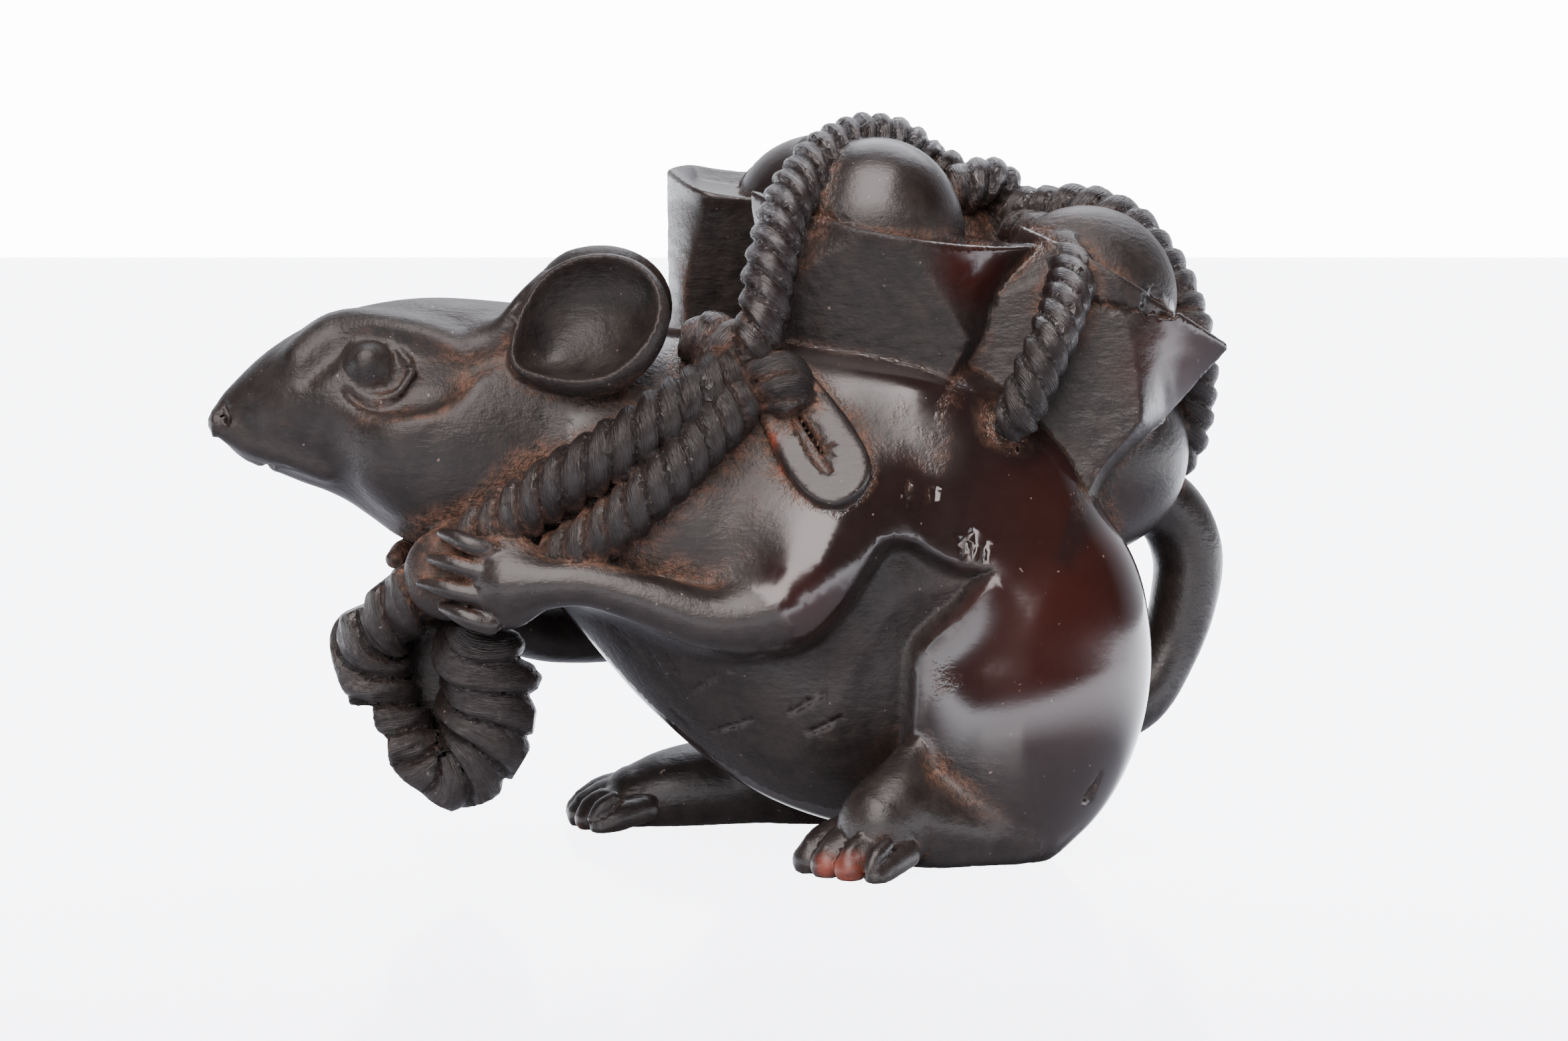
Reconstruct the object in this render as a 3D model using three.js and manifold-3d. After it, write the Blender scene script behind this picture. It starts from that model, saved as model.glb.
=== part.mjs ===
// A netsuke carved from one block of dark wood: a rat that crouches on its hind feet and carries four
// boat-shaped ingots on its back. A laid rope binds the ingots, is knotted behind the near ear, runs
// over the shoulder in two strands and is held in both paws, where its end hangs in a loop.
// The tail curls from the rump up to the bundle and leaves the hole for the cord.
//
// Millimetres. X runs along the head, whose nose points to -X, Y runs from the carving's near side
// to its far side, and Z is up. The origin is the middle of the carving's box, on the ground.

import * as THREE from "three";
import { mergeVertices } from "three/addons/utils/BufferGeometryUtils.js";
import Module from "manifold-3d";

const wasm = await Module();
wasm.setup();

// Driving dimensions

const GROUND_CUT = 0.35; // how far the feet and rump are rubbed flat
const SLIVER = 0.21; // faces thinner than this are left out where the masses meet
const CENTRE = [0.533, -1.035]; // the middle of the box in the carver's frame, X and Y

const BODY_TURN = 25; // degrees from the head's line to the body's, seen from above
const BODY_MIDDLE = [6.2, -1.45]; // the body frame's origin, X and Y
const HEAD_TURN = 8;
const HEAD_MIDDLE = [-9, -5.8];

const INGOT = {
  length: 13.8,
  width: 8.6,
  height: 6.6, // wall at mid length
  endRise: 1.0, // how much higher the two ends stand
  baseLength: 9.2,
  baseWidth: 6.6,
  domeLength: 7.2,
  domeWidth: 6.0,
  domeHeight: 4.1,
};
const ROPE = { strands: 3, radius: 1.4, lay: 5.2, farLay: 7.5, relief: 0.32 };

// Frames and small helpers

const rad = THREE.MathUtils.degToRad;
const vec = (x, y, z) => new THREE.Vector3(x, y, z);

// A frame turned about Z: along runs to the rear, side to the far side.
function turned([x0, y0], degrees) {
  const c = Math.cos(rad(degrees));
  const s = Math.sin(rad(degrees));
  return {
    out: (along, side, up) => vec(x0 + along * c - side * s, y0 + along * s + side * c, up),
    into: (p) => {
      const x = p.x - x0;
      const y = p.y - y0;
      return vec(x * c + y * s, y * c - x * s, p.z);
    },
  };
}
const body = turned(BODY_MIDDLE, BODY_TURN);
const head = turned(HEAD_MIDDLE, HEAD_TURN);

// Two distances joined with a soft valley of the given width.
function blend(a, b, width) {
  const h = Math.max(width - Math.abs(a - b), 0) / width;
  return Math.min(a, b) - (h * h * width) / 4;
}

// Distance, near enough, from a point to an egg that leans by `lean` degrees in its own frame.
function egg(p, { at, r, lean = 0 }) {
  const c = Math.cos(rad(lean));
  const s = Math.sin(rad(lean));
  const dx = p.x - at[0];
  const dz = p.z - at[2];
  const q = [(dx * c + dz * s) / r[0], (p.y - at[1]) / r[1], (dz * c - dx * s) / r[2]];
  const k = Math.hypot(...q);
  return (k * (k - 1)) / Math.max(Math.hypot(q[0] / r[0], q[1] / r[1], q[2] / r[2]), 1e-6);
}

// Distance to a tapering bar through stations of [along, up, radius] in a frame's middle plane.
function bar(p, stations) {
  let best = Infinity;
  for (let i = 1; i < stations.length; i++) {
    const [x0, z0, r0] = stations[i - 1];
    const [x1, z1, r1] = stations[i];
    const ux = x1 - x0;
    const uz = z1 - z0;
    const t = THREE.MathUtils.clamp(((p.x - x0) * ux + (p.z - z0) * uz) / (ux * ux + uz * uz), 0, 1);
    const d = Math.hypot(p.x - x0 - t * ux, p.y, p.z - z0 - t * uz) - (r0 + t * (r1 - r0));
    best = Math.min(best, d);
  }
  return best;
}

// The trunk: eggs in the body's frame, [along, side, up].

const TRUNK = [
  { at: [5.4, 0, 9.6], r: [9.2, 9.0, 8.8] }, // rump
  { at: [-0.7, 0, 10.0], r: [8.4, 8.6, 7.7] }, // belly
  { at: [2.0, 0, 15.2], r: [9.8, 8.6, 7.8], lean: 20 }, // back
  { at: [1.6, 0.4, 19.0], r: [8.6, 7.8, 4.8], lean: 10 }, // saddle under the bundle
  { at: [-7.6, 0, 15.4], r: [6.4, 7.2, 7.8] }, // chest
  { at: [-11.6, 1.2, 19.2], r: [6.6, 5.8, 6.6] }, // neck
];
const NEAR_HAUNCH = { at: [6.0, -7.9, 8.7], r: [6.0, 4.9, 8.7], lean: -12 };
const FAR_HAUNCH = { at: [3.2, 8.0, 8.4], r: [6.2, 4.6, 8.4], lean: -12 };
const NEAR_FLANK = { at: [0.4, -10.4, 11.2], r: [4.8, 2.4, 4.4], lean: -18 }; // hollowed
const NEAR_SHOULDER = { at: [-4.4, -6.6, 14.6], r: [3.8, 3.0, 4.6], lean: 20 };
const FAR_SHOULDER = { at: [-6.0, 6.2, 14.6], r: [3.8, 3.0, 4.6], lean: 20 };

function trunkField(p) {
  const q = body.into(p);
  let d = TRUNK.reduce((sum, mass) => blend(sum, egg(q, mass), 4), 1e3);
  d = -blend(-d, egg(q, NEAR_FLANK), 0.4);
  for (const haunch of [NEAR_HAUNCH, FAR_HAUNCH]) d = blend(d, egg(q, haunch), 0.9);
  for (const shoulder of [NEAR_SHOULDER, FAR_SHOULDER]) d = blend(d, egg(q, shoulder), 2);
  return d;
}

// The head: a bullet from the nose to the nape, narrower than tall, with brows and cheeks.

const SKULL = [
  // along, up, radius
  [-14.7, 21.4, 0.35],
  [-13.5, 21.6, 1.6],
  [-11.6, 22.0, 3.1],
  [-9.6, 22.15, 4.1],
  [-7.6, 21.9, 4.95],
  [-4.8, 21.3, 5.75],
  [-1.8, 20.8, 6.2],
  [2.0, 20.2, 6.2],
];
const HEAD_NARROWING = 0.84;
const EYE = { along: -7.3, side: 3.35, up: 23.7, radius: 1.1 };
const BROW = { at: [-6.6, 2.9, 25.0], r: [2.8, 1.0, 0.7], lean: 6 };
const CHEEK = { at: [-4.4, 3.6, 20.6], r: [3.8, 1.8, 3.2] };

function headField(p) {
  const q = head.into(p);
  const side = Math.abs(q.y);
  const narrow = vec(q.x, q.y / HEAD_NARROWING, q.z);
  let d = bar(narrow, SKULL) * HEAD_NARROWING;
  const half = vec(q.x, side, q.z);
  d = blend(d, egg(half, CHEEK), 1.6);
  return blend(d, egg(half, BROW), 1.2);
}

const bodyField = (p) => Math.min(trunkField(p), headField(p));

// The point that stands `lift` off the body where X and Z are given, seen from one side.
function onBody(x, z, lift, side) {
  let y = side * 22;
  for (let turn = 0; turn < 80; turn++) {
    const gap = bodyField(vec(x, y, z)) - lift;
    if (Math.abs(gap) < 0.01) break;
    y -= side * gap * 0.6;
  }
  return vec(x, THREE.MathUtils.clamp(y, -22, 22), z);
}

// Geometry

// A ball whose every point slides along its ray from `centre` to where the field is zero.
function carveBall(centre, reach, detail, turn, field) {
  const corner = Math.atan((1 + Math.sqrt(5)) / 2); // turns a corner of the ball to -X
  const geometry = new THREE.IcosahedronGeometry(1, detail).rotateZ(corner + rad(turn));
  const place = geometry.attributes.position;
  for (let i = 0; i < place.count; i++) {
    const ray = vec(place.getX(i), place.getY(i), place.getZ(i)).normalize();
    let near = 0;
    let far = reach;
    for (let turn = 0; turn < 30; turn++) {
      const middle = (near + far) / 2;
      if (field(centre.clone().addScaledVector(ray, middle)) < 0) near = middle;
      else far = middle;
    }
    const at = centre.clone().addScaledVector(ray, near);
    place.setXYZ(i, at.x, at.y, at.z);
  }
  return geometry;
}

// A cylinder bent along a curve, with its own radius at each share of the length and each corner.
function bend(curve, sides, steps, radiusAt, turnPerStep = 0) {
  const geometry = new THREE.CylinderGeometry(1, 1, 1, sides, steps);
  const frames = curve.computeFrenetFrames(steps, false);
  const place = geometry.attributes.position;
  for (let i = 0; i < place.count; i++) {
    const step = Math.round((0.5 - place.getY(i)) * steps);
    const angle = -Math.atan2(place.getZ(i), place.getX(i));
    const corner = Math.round((angle / (2 * Math.PI)) * sides + 2 * sides) % sides;
    const onRim = Math.hypot(place.getX(i), place.getZ(i)) > 0.5;
    const radius = onRim ? radiusAt(step / steps, corner) : 0;
    const turn = angle + turnPerStep * step;
    const at = curve
      .getPointAt(step / steps)
      .addScaledVector(frames.normals[step], radius * Math.cos(turn))
      .addScaledVector(frames.binormals[step], radius * Math.sin(turn));
    place.setXYZ(i, at.x, at.y, at.z);
  }
  return geometry;
}

// A limb through stations of [point, radius], rounded off at both ends.
function limb(stations, sides = 8, steps = 10) {
  const curve = new THREE.CatmullRomCurve3(stations.map((s) => s[0]), false, "centripetal");
  const length = curve.getLength();
  const last = stations.length - 1;
  const radiusAt = (share) => {
    const i = Math.min(Math.floor(share * last), last - 1);
    const r = THREE.MathUtils.lerp(stations[i][1], stations[i + 1][1], share * last - i);
    const fromEnd = Math.min(share, 1 - share) * length;
    const cap = fromEnd < r ? Math.sqrt(r * r - (r - fromEnd) ** 2) : r;
    return Math.max(cap, r * 0.4);
  };
  return bend(curve, sides, steps, radiusAt);
}

// A laid rope: a section with one corner on each strand and one in each groove, wound along the line.
function rope(points, radius, wholeLay = ROPE.lay) {
  const curve = new THREE.CatmullRomCurve3(points, false, "centripetal");
  const sides = ROPE.strands * 2;
  const lay = wholeLay * Math.sqrt(radius / ROPE.radius);
  const steps = Math.round((curve.getLength() / lay) * sides);
  const radiusAt = (share, corner) => {
    const end = share === 0 || share === 1 ? 0.6 : 1;
    return end * (corner % 2 === 0 ? radius : radius * (1 - ROPE.relief));
  };
  return bend(curve, sides, steps, radiusAt, (2 * Math.PI) / sides);
}

// A boat-shaped ingot, turned on a lathe and then drawn out to its long plan. Its foot is at Z = 0.
function ingot(longer) {
  const { length, width, height, endRise, domeHeight } = INGOT;
  // Each ring: half length, half width, height, share of the end rise, how pointed the ends are
  const rings = [
    [0, 0, 0, 0, 0],
    [(INGOT.baseLength * longer) / 2, INGOT.baseWidth / 2, 0, 0, 0],
    [(INGOT.baseLength * longer) / 2 + 0.6, width / 2 - 0.45, height * 0.5, 0.3, 0.3],
    [length / 2, width / 2, height, 1, 1],
    [length / 2 - 0.6, width / 2 - 0.5, height + 0.1, 1, 1],
    [INGOT.domeLength / 2, INGOT.domeWidth / 2, height - 0.6, 0.1, 0],
    [INGOT.domeLength / 2 - 0.35, INGOT.domeWidth / 2 - 0.3, height + domeHeight * 0.35, 0, 0],
    [INGOT.domeLength / 2 - 1.4, INGOT.domeWidth / 2 - 1.2, height + domeHeight * 0.78, 0, 0],
    [0, 0, height + domeHeight, 0, 0],
  ];
  const profile = rings.map((ring, i) => new THREE.Vector2(i === 0 || i === rings.length - 1 ? 0 : 1, i));
  const geometry = new THREE.LatheGeometry(profile, 14);
  const place = geometry.attributes.position;
  for (let i = 0; i < place.count; i++) {
    const [a, b, up, rise, point] = rings[Math.round(place.getY(i))];
    const angle = Math.atan2(place.getZ(i), place.getX(i));
    const c = Math.cos(angle);
    const s = Math.sin(angle);
    const pinch = 1 - 0.3 * point * c * c;
    place.setXYZ(i, a * c, -b * s * pinch, up + rise * endRise * c * c * c * c);
  }
  return geometry;
}

// Solids

function solid(geometry) {
  const bare = geometry.clone();
  for (const name of ["normal", "uv"]) if (bare.hasAttribute(name)) bare.deleteAttribute(name);
  const merged = mergeVertices(bare, 1e-3);
  const index = merged.index.array;
  const kept = [];
  for (let i = 0; i < index.length; i += 3) {
    const [a, b, c] = [index[i], index[i + 1], index[i + 2]];
    if (a !== b && b !== c && c !== a) kept.push(a, b, c);
  }
  const made = new wasm.Manifold(
    new wasm.Mesh({
      numProp: 3,
      vertProperties: merged.attributes.position.array,
      triVerts: new Uint32Array(kept),
    }),
  );
  if (made.volume() > 0) return made;
  for (let i = 0; i < kept.length; i += 3) {
    [kept[i + 1], kept[i + 2]] = [kept[i + 2], kept[i + 1]];
  }
  return new wasm.Manifold(
    new wasm.Mesh({
      numProp: 3,
      vertProperties: merged.attributes.position.array,
      triVerts: new Uint32Array(kept),
    }),
  );
}

// Sub-parts

const trunk = () => carveBall(body.out(0, 0, 13), 40, 6, BODY_TURN, trunkField);

const skull = () => carveBall(head.out(-4, 0, 21.4), 30, 5, HEAD_TURN, headField);

function eyes() {
  return [-1, 1].map((side) => {
    const ball = new THREE.SphereGeometry(EYE.radius, 8, 5);
    const at = head.out(EYE.along, side * EYE.side, EYE.up);
    return ball.translate(at.x, at.y, at.z);
  });
}

// An ear is a thick leaf, hollowed on its open side.
const EARS = {
  near: { at: [-6.0, -10.6, 25.7], face: [-16, -16, 12] },
  far: { at: [-6.2, 0.4, 26.0], face: [16, -16, -6] },
};
function ear({ at, face }, side) {
  const outer = new THREE.SphereGeometry(1, 12, 7).scale(4.1, 2.2, 3.5);
  const inner = new THREE.SphereGeometry(1, 12, 7).scale(3.6, 2.3, 3.0).translate(0.1, -1.2, 0.1);
  const turn = new THREE.Quaternion().setFromEuler(new THREE.Euler(...face.map(rad)));
  const place = new THREE.Matrix4().compose(vec(...at), turn, vec(1, side, 1));
  return solid(outer.applyMatrix4(place)).subtract(solid(inner.applyMatrix4(place)));
}
const earRoots = () => [
  limb([
    [vec(-12.2, -8.9, 24.2), 0.8],
    [vec(-10.2, -9.9, 24.6), 1.3],
    [vec(-7.6, -10.4, 25.2), 1.9],
  ], 7, 6),
  limb([
    [vec(-12.0, -1.6, 24.6), 0.8],
    [vec(-10.2, -1.0, 25.0), 1.2],
    [vec(-7.8, -0.2, 25.4), 1.8],
  ], 7, 6),
];

const nearArm = () =>
  limb([
    [vec(5.6, -9.4, 14.6), 2.6],
    [vec(3.0, -11.2, 12.4), 3.0],
    [vec(-0.6, -12.4, 12.2), 2.3],
    [vec(-5.0, -12.8, 13.6), 1.35],
    [vec(-8.4, -12.4, 13.8), 1.45],
    [vec(-11.4, -11.2, 13.9), 1.9],
  ], 9, 12);
const farArm = () =>
  limb([
    [body.out(-6.5, 6.6, 14.0), 2.4],
    [vec(-4.0, 4.2, 11.4), 2.3],
    [vec(-8.0, 1.6, 10.6), 1.7],
    [vec(-11.6, -2.6, 11.8), 1.4],
    [vec(-13.0, -5.8, 13.0), 1.7],
  ], 8, 9);

// Four fingers a hand, each bent over the rope from its knuckle to its tip.
function nearFingers() {
  return [0, 1, 2, 3].map((n) => {
    const up = 16.0 - n * 1.25;
    return limb([
      [vec(-10.6 - 0.15 * n, -12.3, up), 0.6],
      [vec(-12.4 - 0.1 * n, -12.2, up + 0.35), 0.62],
      [vec(-13.6, -11.0, up + 0.1), 0.45],
    ], 5, 3);
  });
}
function farFingers() {
  return [0, 1, 2, 3].map((n) => {
    const up = 14.7 - n * 1.15;
    return limb([
      [vec(-12.7, -5.0, up), 0.65],
      [vec(-14.6, -5.9, up + 0.3), 0.6],
      [vec(-15.1, -7.4, up), 0.45],
    ], 5, 3);
  });
}

// A hind foot: the sole from heel to toe root, and four blunt toes that fan out from it.
const TOE = { root: 1.9, knuckle: 1.1, tip: 0.74, taper: 0.85, fan: 0.25 };
function foot(stations, heading, toe) {
  const ahead = vec(Math.cos(rad(heading)), Math.sin(rad(heading)), 0);
  const across = vec(-ahead.y, ahead.x, 0);
  const root = stations[stations.length - 1][0];
  const parts = [limb(stations, 8, 8)];
  for (let n = 0; n < 4; n++) {
    const offset = n - 1.5;
    const reach = toe.length * (1 - 0.07 * offset * offset);
    const from = root.clone().addScaledVector(across, offset * toe.pitch).setZ(TOE.root);
    const half = ahead.clone().multiplyScalar(reach / 2).addScaledVector(across, offset * TOE.fan);
    const knuckle = from.clone().add(half);
    const tip = knuckle.clone().add(half);
    parts.push(limb([
      [from, toe.radius],
      [knuckle.setZ(TOE.knuckle), toe.radius],
      [tip.setZ(TOE.tip), toe.radius * TOE.taper],
    ], 6, 4));
  }
  return parts;
}
const feet = () => [
  ...foot(
    [
      [vec(14.4, -6.2, 1.9), 1.8],
      [vec(10.8, -8.2, 2.2), 2.1],
      [vec(8.4, -9.6, 2.7), 2.3],
      [vec(7.3, -10.8, 2.0), 1.9],
    ],
    -136,
    { length: 3.0, pitch: 1.2, radius: 0.85 },
  ),
  ...foot(
    [
      [vec(5.0, 7.4, 2.1), 2.0],
      [vec(0.5, 6.4, 2.4), 2.3],
      [vec(-2.6, 5.6, 2.1), 2.1],
      [vec(-4.2, 5.2, 1.8), 1.7],
    ],
    -164,
    { length: 2.8, pitch: 1.1, radius: 0.85 },
  ),
];

const tail = () =>
  limb([
    [vec(18.0, 2.4, 6.4), 1.9],
    [vec(20.8, 3.2, 7.0), 1.6],
    [vec(22.4, 3.8, 9.4), 1.4],
    [vec(23.3, 4.0, 12.0), 1.45],
    [vec(23.5, 3.9, 14.6), 1.5],
    [vec(22.2, 3.3, 16.6), 1.5],
    [vec(19.6, 2.4, 17.2), 1.9],
  ], 8, 12);

// Where each ingot stands: the middle of its foot, its turn about Z, its tilt along its length
// (left end up is positive) and its lean towards the near side.
const INGOT_PLACES = [
  { at: [4.1, 5.0, 25.1], turn: 4, tilt: 2, lean: 4, tall: 1, foot: 1.36 },
  { at: [8.2, -3.7, 23.0], turn: -6, tilt: 5, lean: 14, tall: 1, foot: 1.08 },
  { at: [15.0, -2.6, 20.3], turn: -6, tilt: 23, lean: 12, tall: 1.14, foot: 1 },
  { at: [13.0, 5.9, 20.6], turn: 10, tilt: 20, lean: -22, tall: 1, foot: 1 },
];
function ingots() {
  return INGOT_PLACES.map(({ at, turn, tilt, lean, tall, foot: longer }) => {
    const stand = new THREE.Euler(rad(lean), rad(tilt), rad(turn), "ZYX");
    const quaternion = new THREE.Quaternion().setFromEuler(stand);
    return ingot(longer).scale(1, 1, tall).applyQuaternion(quaternion).translate(...at);
  });
}
// The wood left between the ingots
const bundleCore = () => [
  new THREE.SphereGeometry(1, 9, 6).scale(6.6, 3.4, 8.6).translate(8.2, 0.8, 25.2),
  new THREE.SphereGeometry(1, 9, 6).scale(4.6, 3.0, 7.0).translate(14.6, 1.0, 23.6),
  new THREE.SphereGeometry(1, 9, 6).scale(5.4, 5.2, 5.2).translate(17.4, 0.4, 19.4),
];

// The rope: a run passes its points of [x, y, z], and rests on the body where only [x, z] is given.
// A positive side is the far one.

const LAID = 0.75; // how far a resting run's middle stands off the body

const ROPE_RUNS = {
  front: {
    radius: 1.4,
    at: [
      [1.4, 23.6], [2.2, -10.2, 26.1], [2.5, -9.6, 28.3], [3, -8.2, 30.5], [3.9, -6.4, 32.2],
      [5.1, -4.4, 33.6], [6.7, -2.2, 34.4], [8.4, -0.4, 34.3], [10.2, 0.8, 33.2], [12.2, 1, 32],
    ],
  },
  rear: {
    radius: 1.25,
    at: [
      [12.6, 1, 31.2], [15.2, 0.6, 31], [17.6, 0.2, 31.1], [19.6, 0, 30.4], [21.2, 0, 28.6],
      [22.4, 0.4, 26.4], [23, 0.6, 24], [23, 1.2, 21.4], [22.2, 1.8, 19], [20.2, 2.4, 17.2],
    ],
  },
  between: {
    radius: 1.2,
    at: [
      [12.6, 0.4, 31.6], [14.6, -2.4, 30.2], [15.2, -5.4, 28.4], [15.2, -7.6, 26.4],
      [14.7, -8.8, 24.4], [14, -9, 22.4], [13.2, -8.6, 20.8],
    ],
  },
  farBetween: {
    radius: 1.2,
    side: 1,
    lay: ROPE.farLay,
    at: [[12, 1.6, 31.6], [10.8, 5, 30.4], [10, 8, 28.4], [9.6, 9.8, 25.4], [9, 22]],
  },
  farFront: {
    radius: 1.3,
    side: 1,
    lay: ROPE.farLay,
    at: [[6, 1.2, 34], [2.8, 5.4, 32.6], [0.8, 8, 30], [-0.6, 8, 27], [-1.4, 23.4]],
  },
  upper: {
    radius: 1.5,
    at: [[1.2, 24], [-1.6, 22], [-5.2, 19.7], [-8.2, 17.8], [-11, -10.6, 15.8], [-13, -9.4, 13.8]],
  },
  lower: {
    radius: 1.35,
    at: [[1.6, 23], [-0.3, 20.8], [-2.6, 18.5], [-5, 16.4], [-8, -11, 14.6]],
  },
  farStrand: {
    radius: 1.5,
    side: 1,
    lay: ROPE.farLay,
    at: [[-1, 24], [-3, 21], [-5.6, 18], [-8, 16.2], [-11.4, -3.4, 14.6], [-13.6, -6.4, 13.6]],
  },
  loop: {
    radius: 2.15,
    at: [
      [-12.9, -9.4, 14.2], [-15, -8.5, 12.6], [-16.3, -7.5, 10.7], [-15.9, -6.8, 8.1],
      [-14.9, -6.6, 6.1], [-12.9, -6.6, 4.4], [-11.3, -7, 5.4], [-10.6, -7.8, 7.8],
      [-11.1, -8.8, 10.4], [-11.6, -9.6, 12.2],
    ],
  },
  knot: { radius: 1.6, at: [[-1.6, 25], [0.6, 24.6], [2.6, 23.4], [3.8, 21.8]] },
  crossing: {
    radius: 1.3,
    at: [[10.8, -1.4, 31.4], [12.2, -0.4, 32.3], [13.4, 1, 32.3], [13.8, 2.6, 31.4]],
  },
};
const BOW = {
  radius: 0.95,
  at: [[1.8, 22.4], [2.9, 20.6], [4.3, 18.7], [5.5, 17.9], [6.2, 18.6], [5.7, 20.2], [3.4, 22.4]],
};
const wayOf = ({ at, side = -1 }) =>
  at.map((place) => (place.length === 3 ? vec(...place) : onBody(...place, LAID, side)));
const ropes = () => Object.values(ROPE_RUNS).map((run) => rope(wayOf(run), run.radius, run.lay));

// The bow of the knot is worn smooth
const bow = () => limb(wayOf(BOW).map((place) => [place, BOW.radius]), 7, 12);

// The carving: everything joined, and rubbed flat where it stands

// The largest skin alone, so that no hollow stays shut in between the masses
const outerSkin = (whole) => whole.decompose().sort((a, b) => b.volume() - a.volume())[0];

function geometryOf(whole) {
  const mesh = whole.getMesh();
  const geometry = new THREE.BufferGeometry();
  geometry.setAttribute("position", new THREE.BufferAttribute(new Float32Array(mesh.vertProperties), 3));
  geometry.setIndex(new THREE.BufferAttribute(new Uint32Array(mesh.triVerts), 1));
  return geometry;
}

function carving() {
  const masses = [
    trunk(), skull(), ...eyes(), ...earRoots(), nearArm(), farArm(), ...nearFingers(), ...farFingers(),
    ...feet(), tail(), ...ingots(), ...bundleCore(), ...ropes(), bow(),
  ];
  const below = new THREE.BoxGeometry(120, 120, 20).translate(0, 0, GROUND_CUT - 10);
  const joined = wasm.Manifold.union([...masses.map(solid), ear(EARS.near, 1), ear(EARS.far, -1)]);
  const standing = outerSkin(joined.subtract(solid(below))).simplify(SLIVER);
  const skin = outerSkin(solid(geometryOf(standing)));
  return geometryOf(skin).translate(-CENTRE[0], -CENTRE[1], -GROUND_CUT);
}

const wood = new THREE.MeshStandardMaterial({ color: 0x2b2220, roughness: 0.38, metalness: 0 });
const netsuke = new THREE.Mesh(carving(), wood);
netsuke.name = "netsuke";

const group = new THREE.Group();
group.add(netsuke);
export default group;
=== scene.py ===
"""The looks of a netsuke carved from one block of dark wood.

A rat crouches on its hind feet under a load of boat-shaped ingots, bound with a laid rope that
runs over its shoulder to its paws and hangs from them in a loop.

The carving is built as a wood carver thinks of it: masses that swell into each other, hollows
that are cut out of them, and rope wound along its runs. All of it is one field of distances,
in millimetres, and the skin is drawn where that field is zero.
"""

import functools
import math

import bpy
import numpy as np
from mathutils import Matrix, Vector
from mathutils.bvhtree import BVHTree


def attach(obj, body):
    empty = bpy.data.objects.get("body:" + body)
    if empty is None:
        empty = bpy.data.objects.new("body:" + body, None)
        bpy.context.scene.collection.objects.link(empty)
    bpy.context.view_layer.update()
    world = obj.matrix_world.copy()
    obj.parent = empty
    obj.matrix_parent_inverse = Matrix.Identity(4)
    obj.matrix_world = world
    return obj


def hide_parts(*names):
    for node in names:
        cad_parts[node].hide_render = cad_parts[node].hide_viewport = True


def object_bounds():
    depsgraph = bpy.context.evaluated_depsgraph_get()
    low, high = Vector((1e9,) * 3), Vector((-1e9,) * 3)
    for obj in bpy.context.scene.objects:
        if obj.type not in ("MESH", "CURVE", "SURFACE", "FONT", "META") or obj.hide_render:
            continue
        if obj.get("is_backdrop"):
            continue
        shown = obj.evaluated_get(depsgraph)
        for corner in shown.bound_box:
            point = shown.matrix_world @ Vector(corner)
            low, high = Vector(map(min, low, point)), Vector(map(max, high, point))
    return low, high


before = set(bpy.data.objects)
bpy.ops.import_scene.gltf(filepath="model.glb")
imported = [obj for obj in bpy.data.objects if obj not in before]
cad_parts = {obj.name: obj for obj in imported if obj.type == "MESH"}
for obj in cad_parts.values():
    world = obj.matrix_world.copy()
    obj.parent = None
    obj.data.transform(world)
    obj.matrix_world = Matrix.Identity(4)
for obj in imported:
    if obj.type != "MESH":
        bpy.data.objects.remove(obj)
cad_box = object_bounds()

MM = 0.001

# The carver's frame is the part's frame moved by these millimetres
CENTRE = (0.533, -1.035)
GROUND_CUT = 0.35

CELL = 0.17  # spacing of the finest grid, mm
MOST_TRIANGLES = 196000
UNEVENNESS = 0.009  # mm
FAR = 9.0  # a distance that stands for well outside


# Distances


def frame_at(middle, degrees):
    """Functions into and out of a frame turned about Z: along, side, up."""
    c, s = math.cos(math.radians(degrees)), math.sin(math.radians(degrees))

    def into(p):
        x, y = p[:, 0] - middle[0], p[:, 1] - middle[1]
        return np.stack([x * c + y * s, y * c - x * s, p[:, 2]], axis=1)

    def out(along, side, up):
        return (middle[0] + along * c - side * s, middle[1] + along * s + side * c, up)

    return into, out


into_body, from_body = frame_at(middle=(6.2, -1.45), degrees=25)
into_head, _ = frame_at(middle=(-9.0, -5.8), degrees=8)


def soft_min(a, b, width):
    """Two masses joined with a valley of the given width."""
    if width <= 0:
        return np.minimum(a, b)
    h = np.maximum(width - np.abs(a - b), 0) / width
    return np.minimum(a, b) - h * h * width / 4


def soft_cut(a, hollow, width):
    """A mass with a hollow taken out, its lip rounded over the given width."""
    return -soft_min(-a, hollow, width)


def egg(p, at, r, lean=0.0):
    """Distance, near enough, to an egg that leans by some degrees in its own frame."""
    c, s = math.cos(math.radians(lean)), math.sin(math.radians(lean))
    dx, dy, dz = (p[:, i] - at[i] for i in range(3))
    qx, qy, qz = (dx * c + dz * s) / r[0], dy / r[1], (dz * c - dx * s) / r[2]
    k = np.sqrt(qx * qx + qy * qy + qz * qz)
    steep = np.sqrt((qx / r[0]) ** 2 + (qy / r[1]) ** 2 + (qz / r[2]) ** 2)
    return k * (k - 1) / np.maximum(steep, 1e-6)


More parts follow.
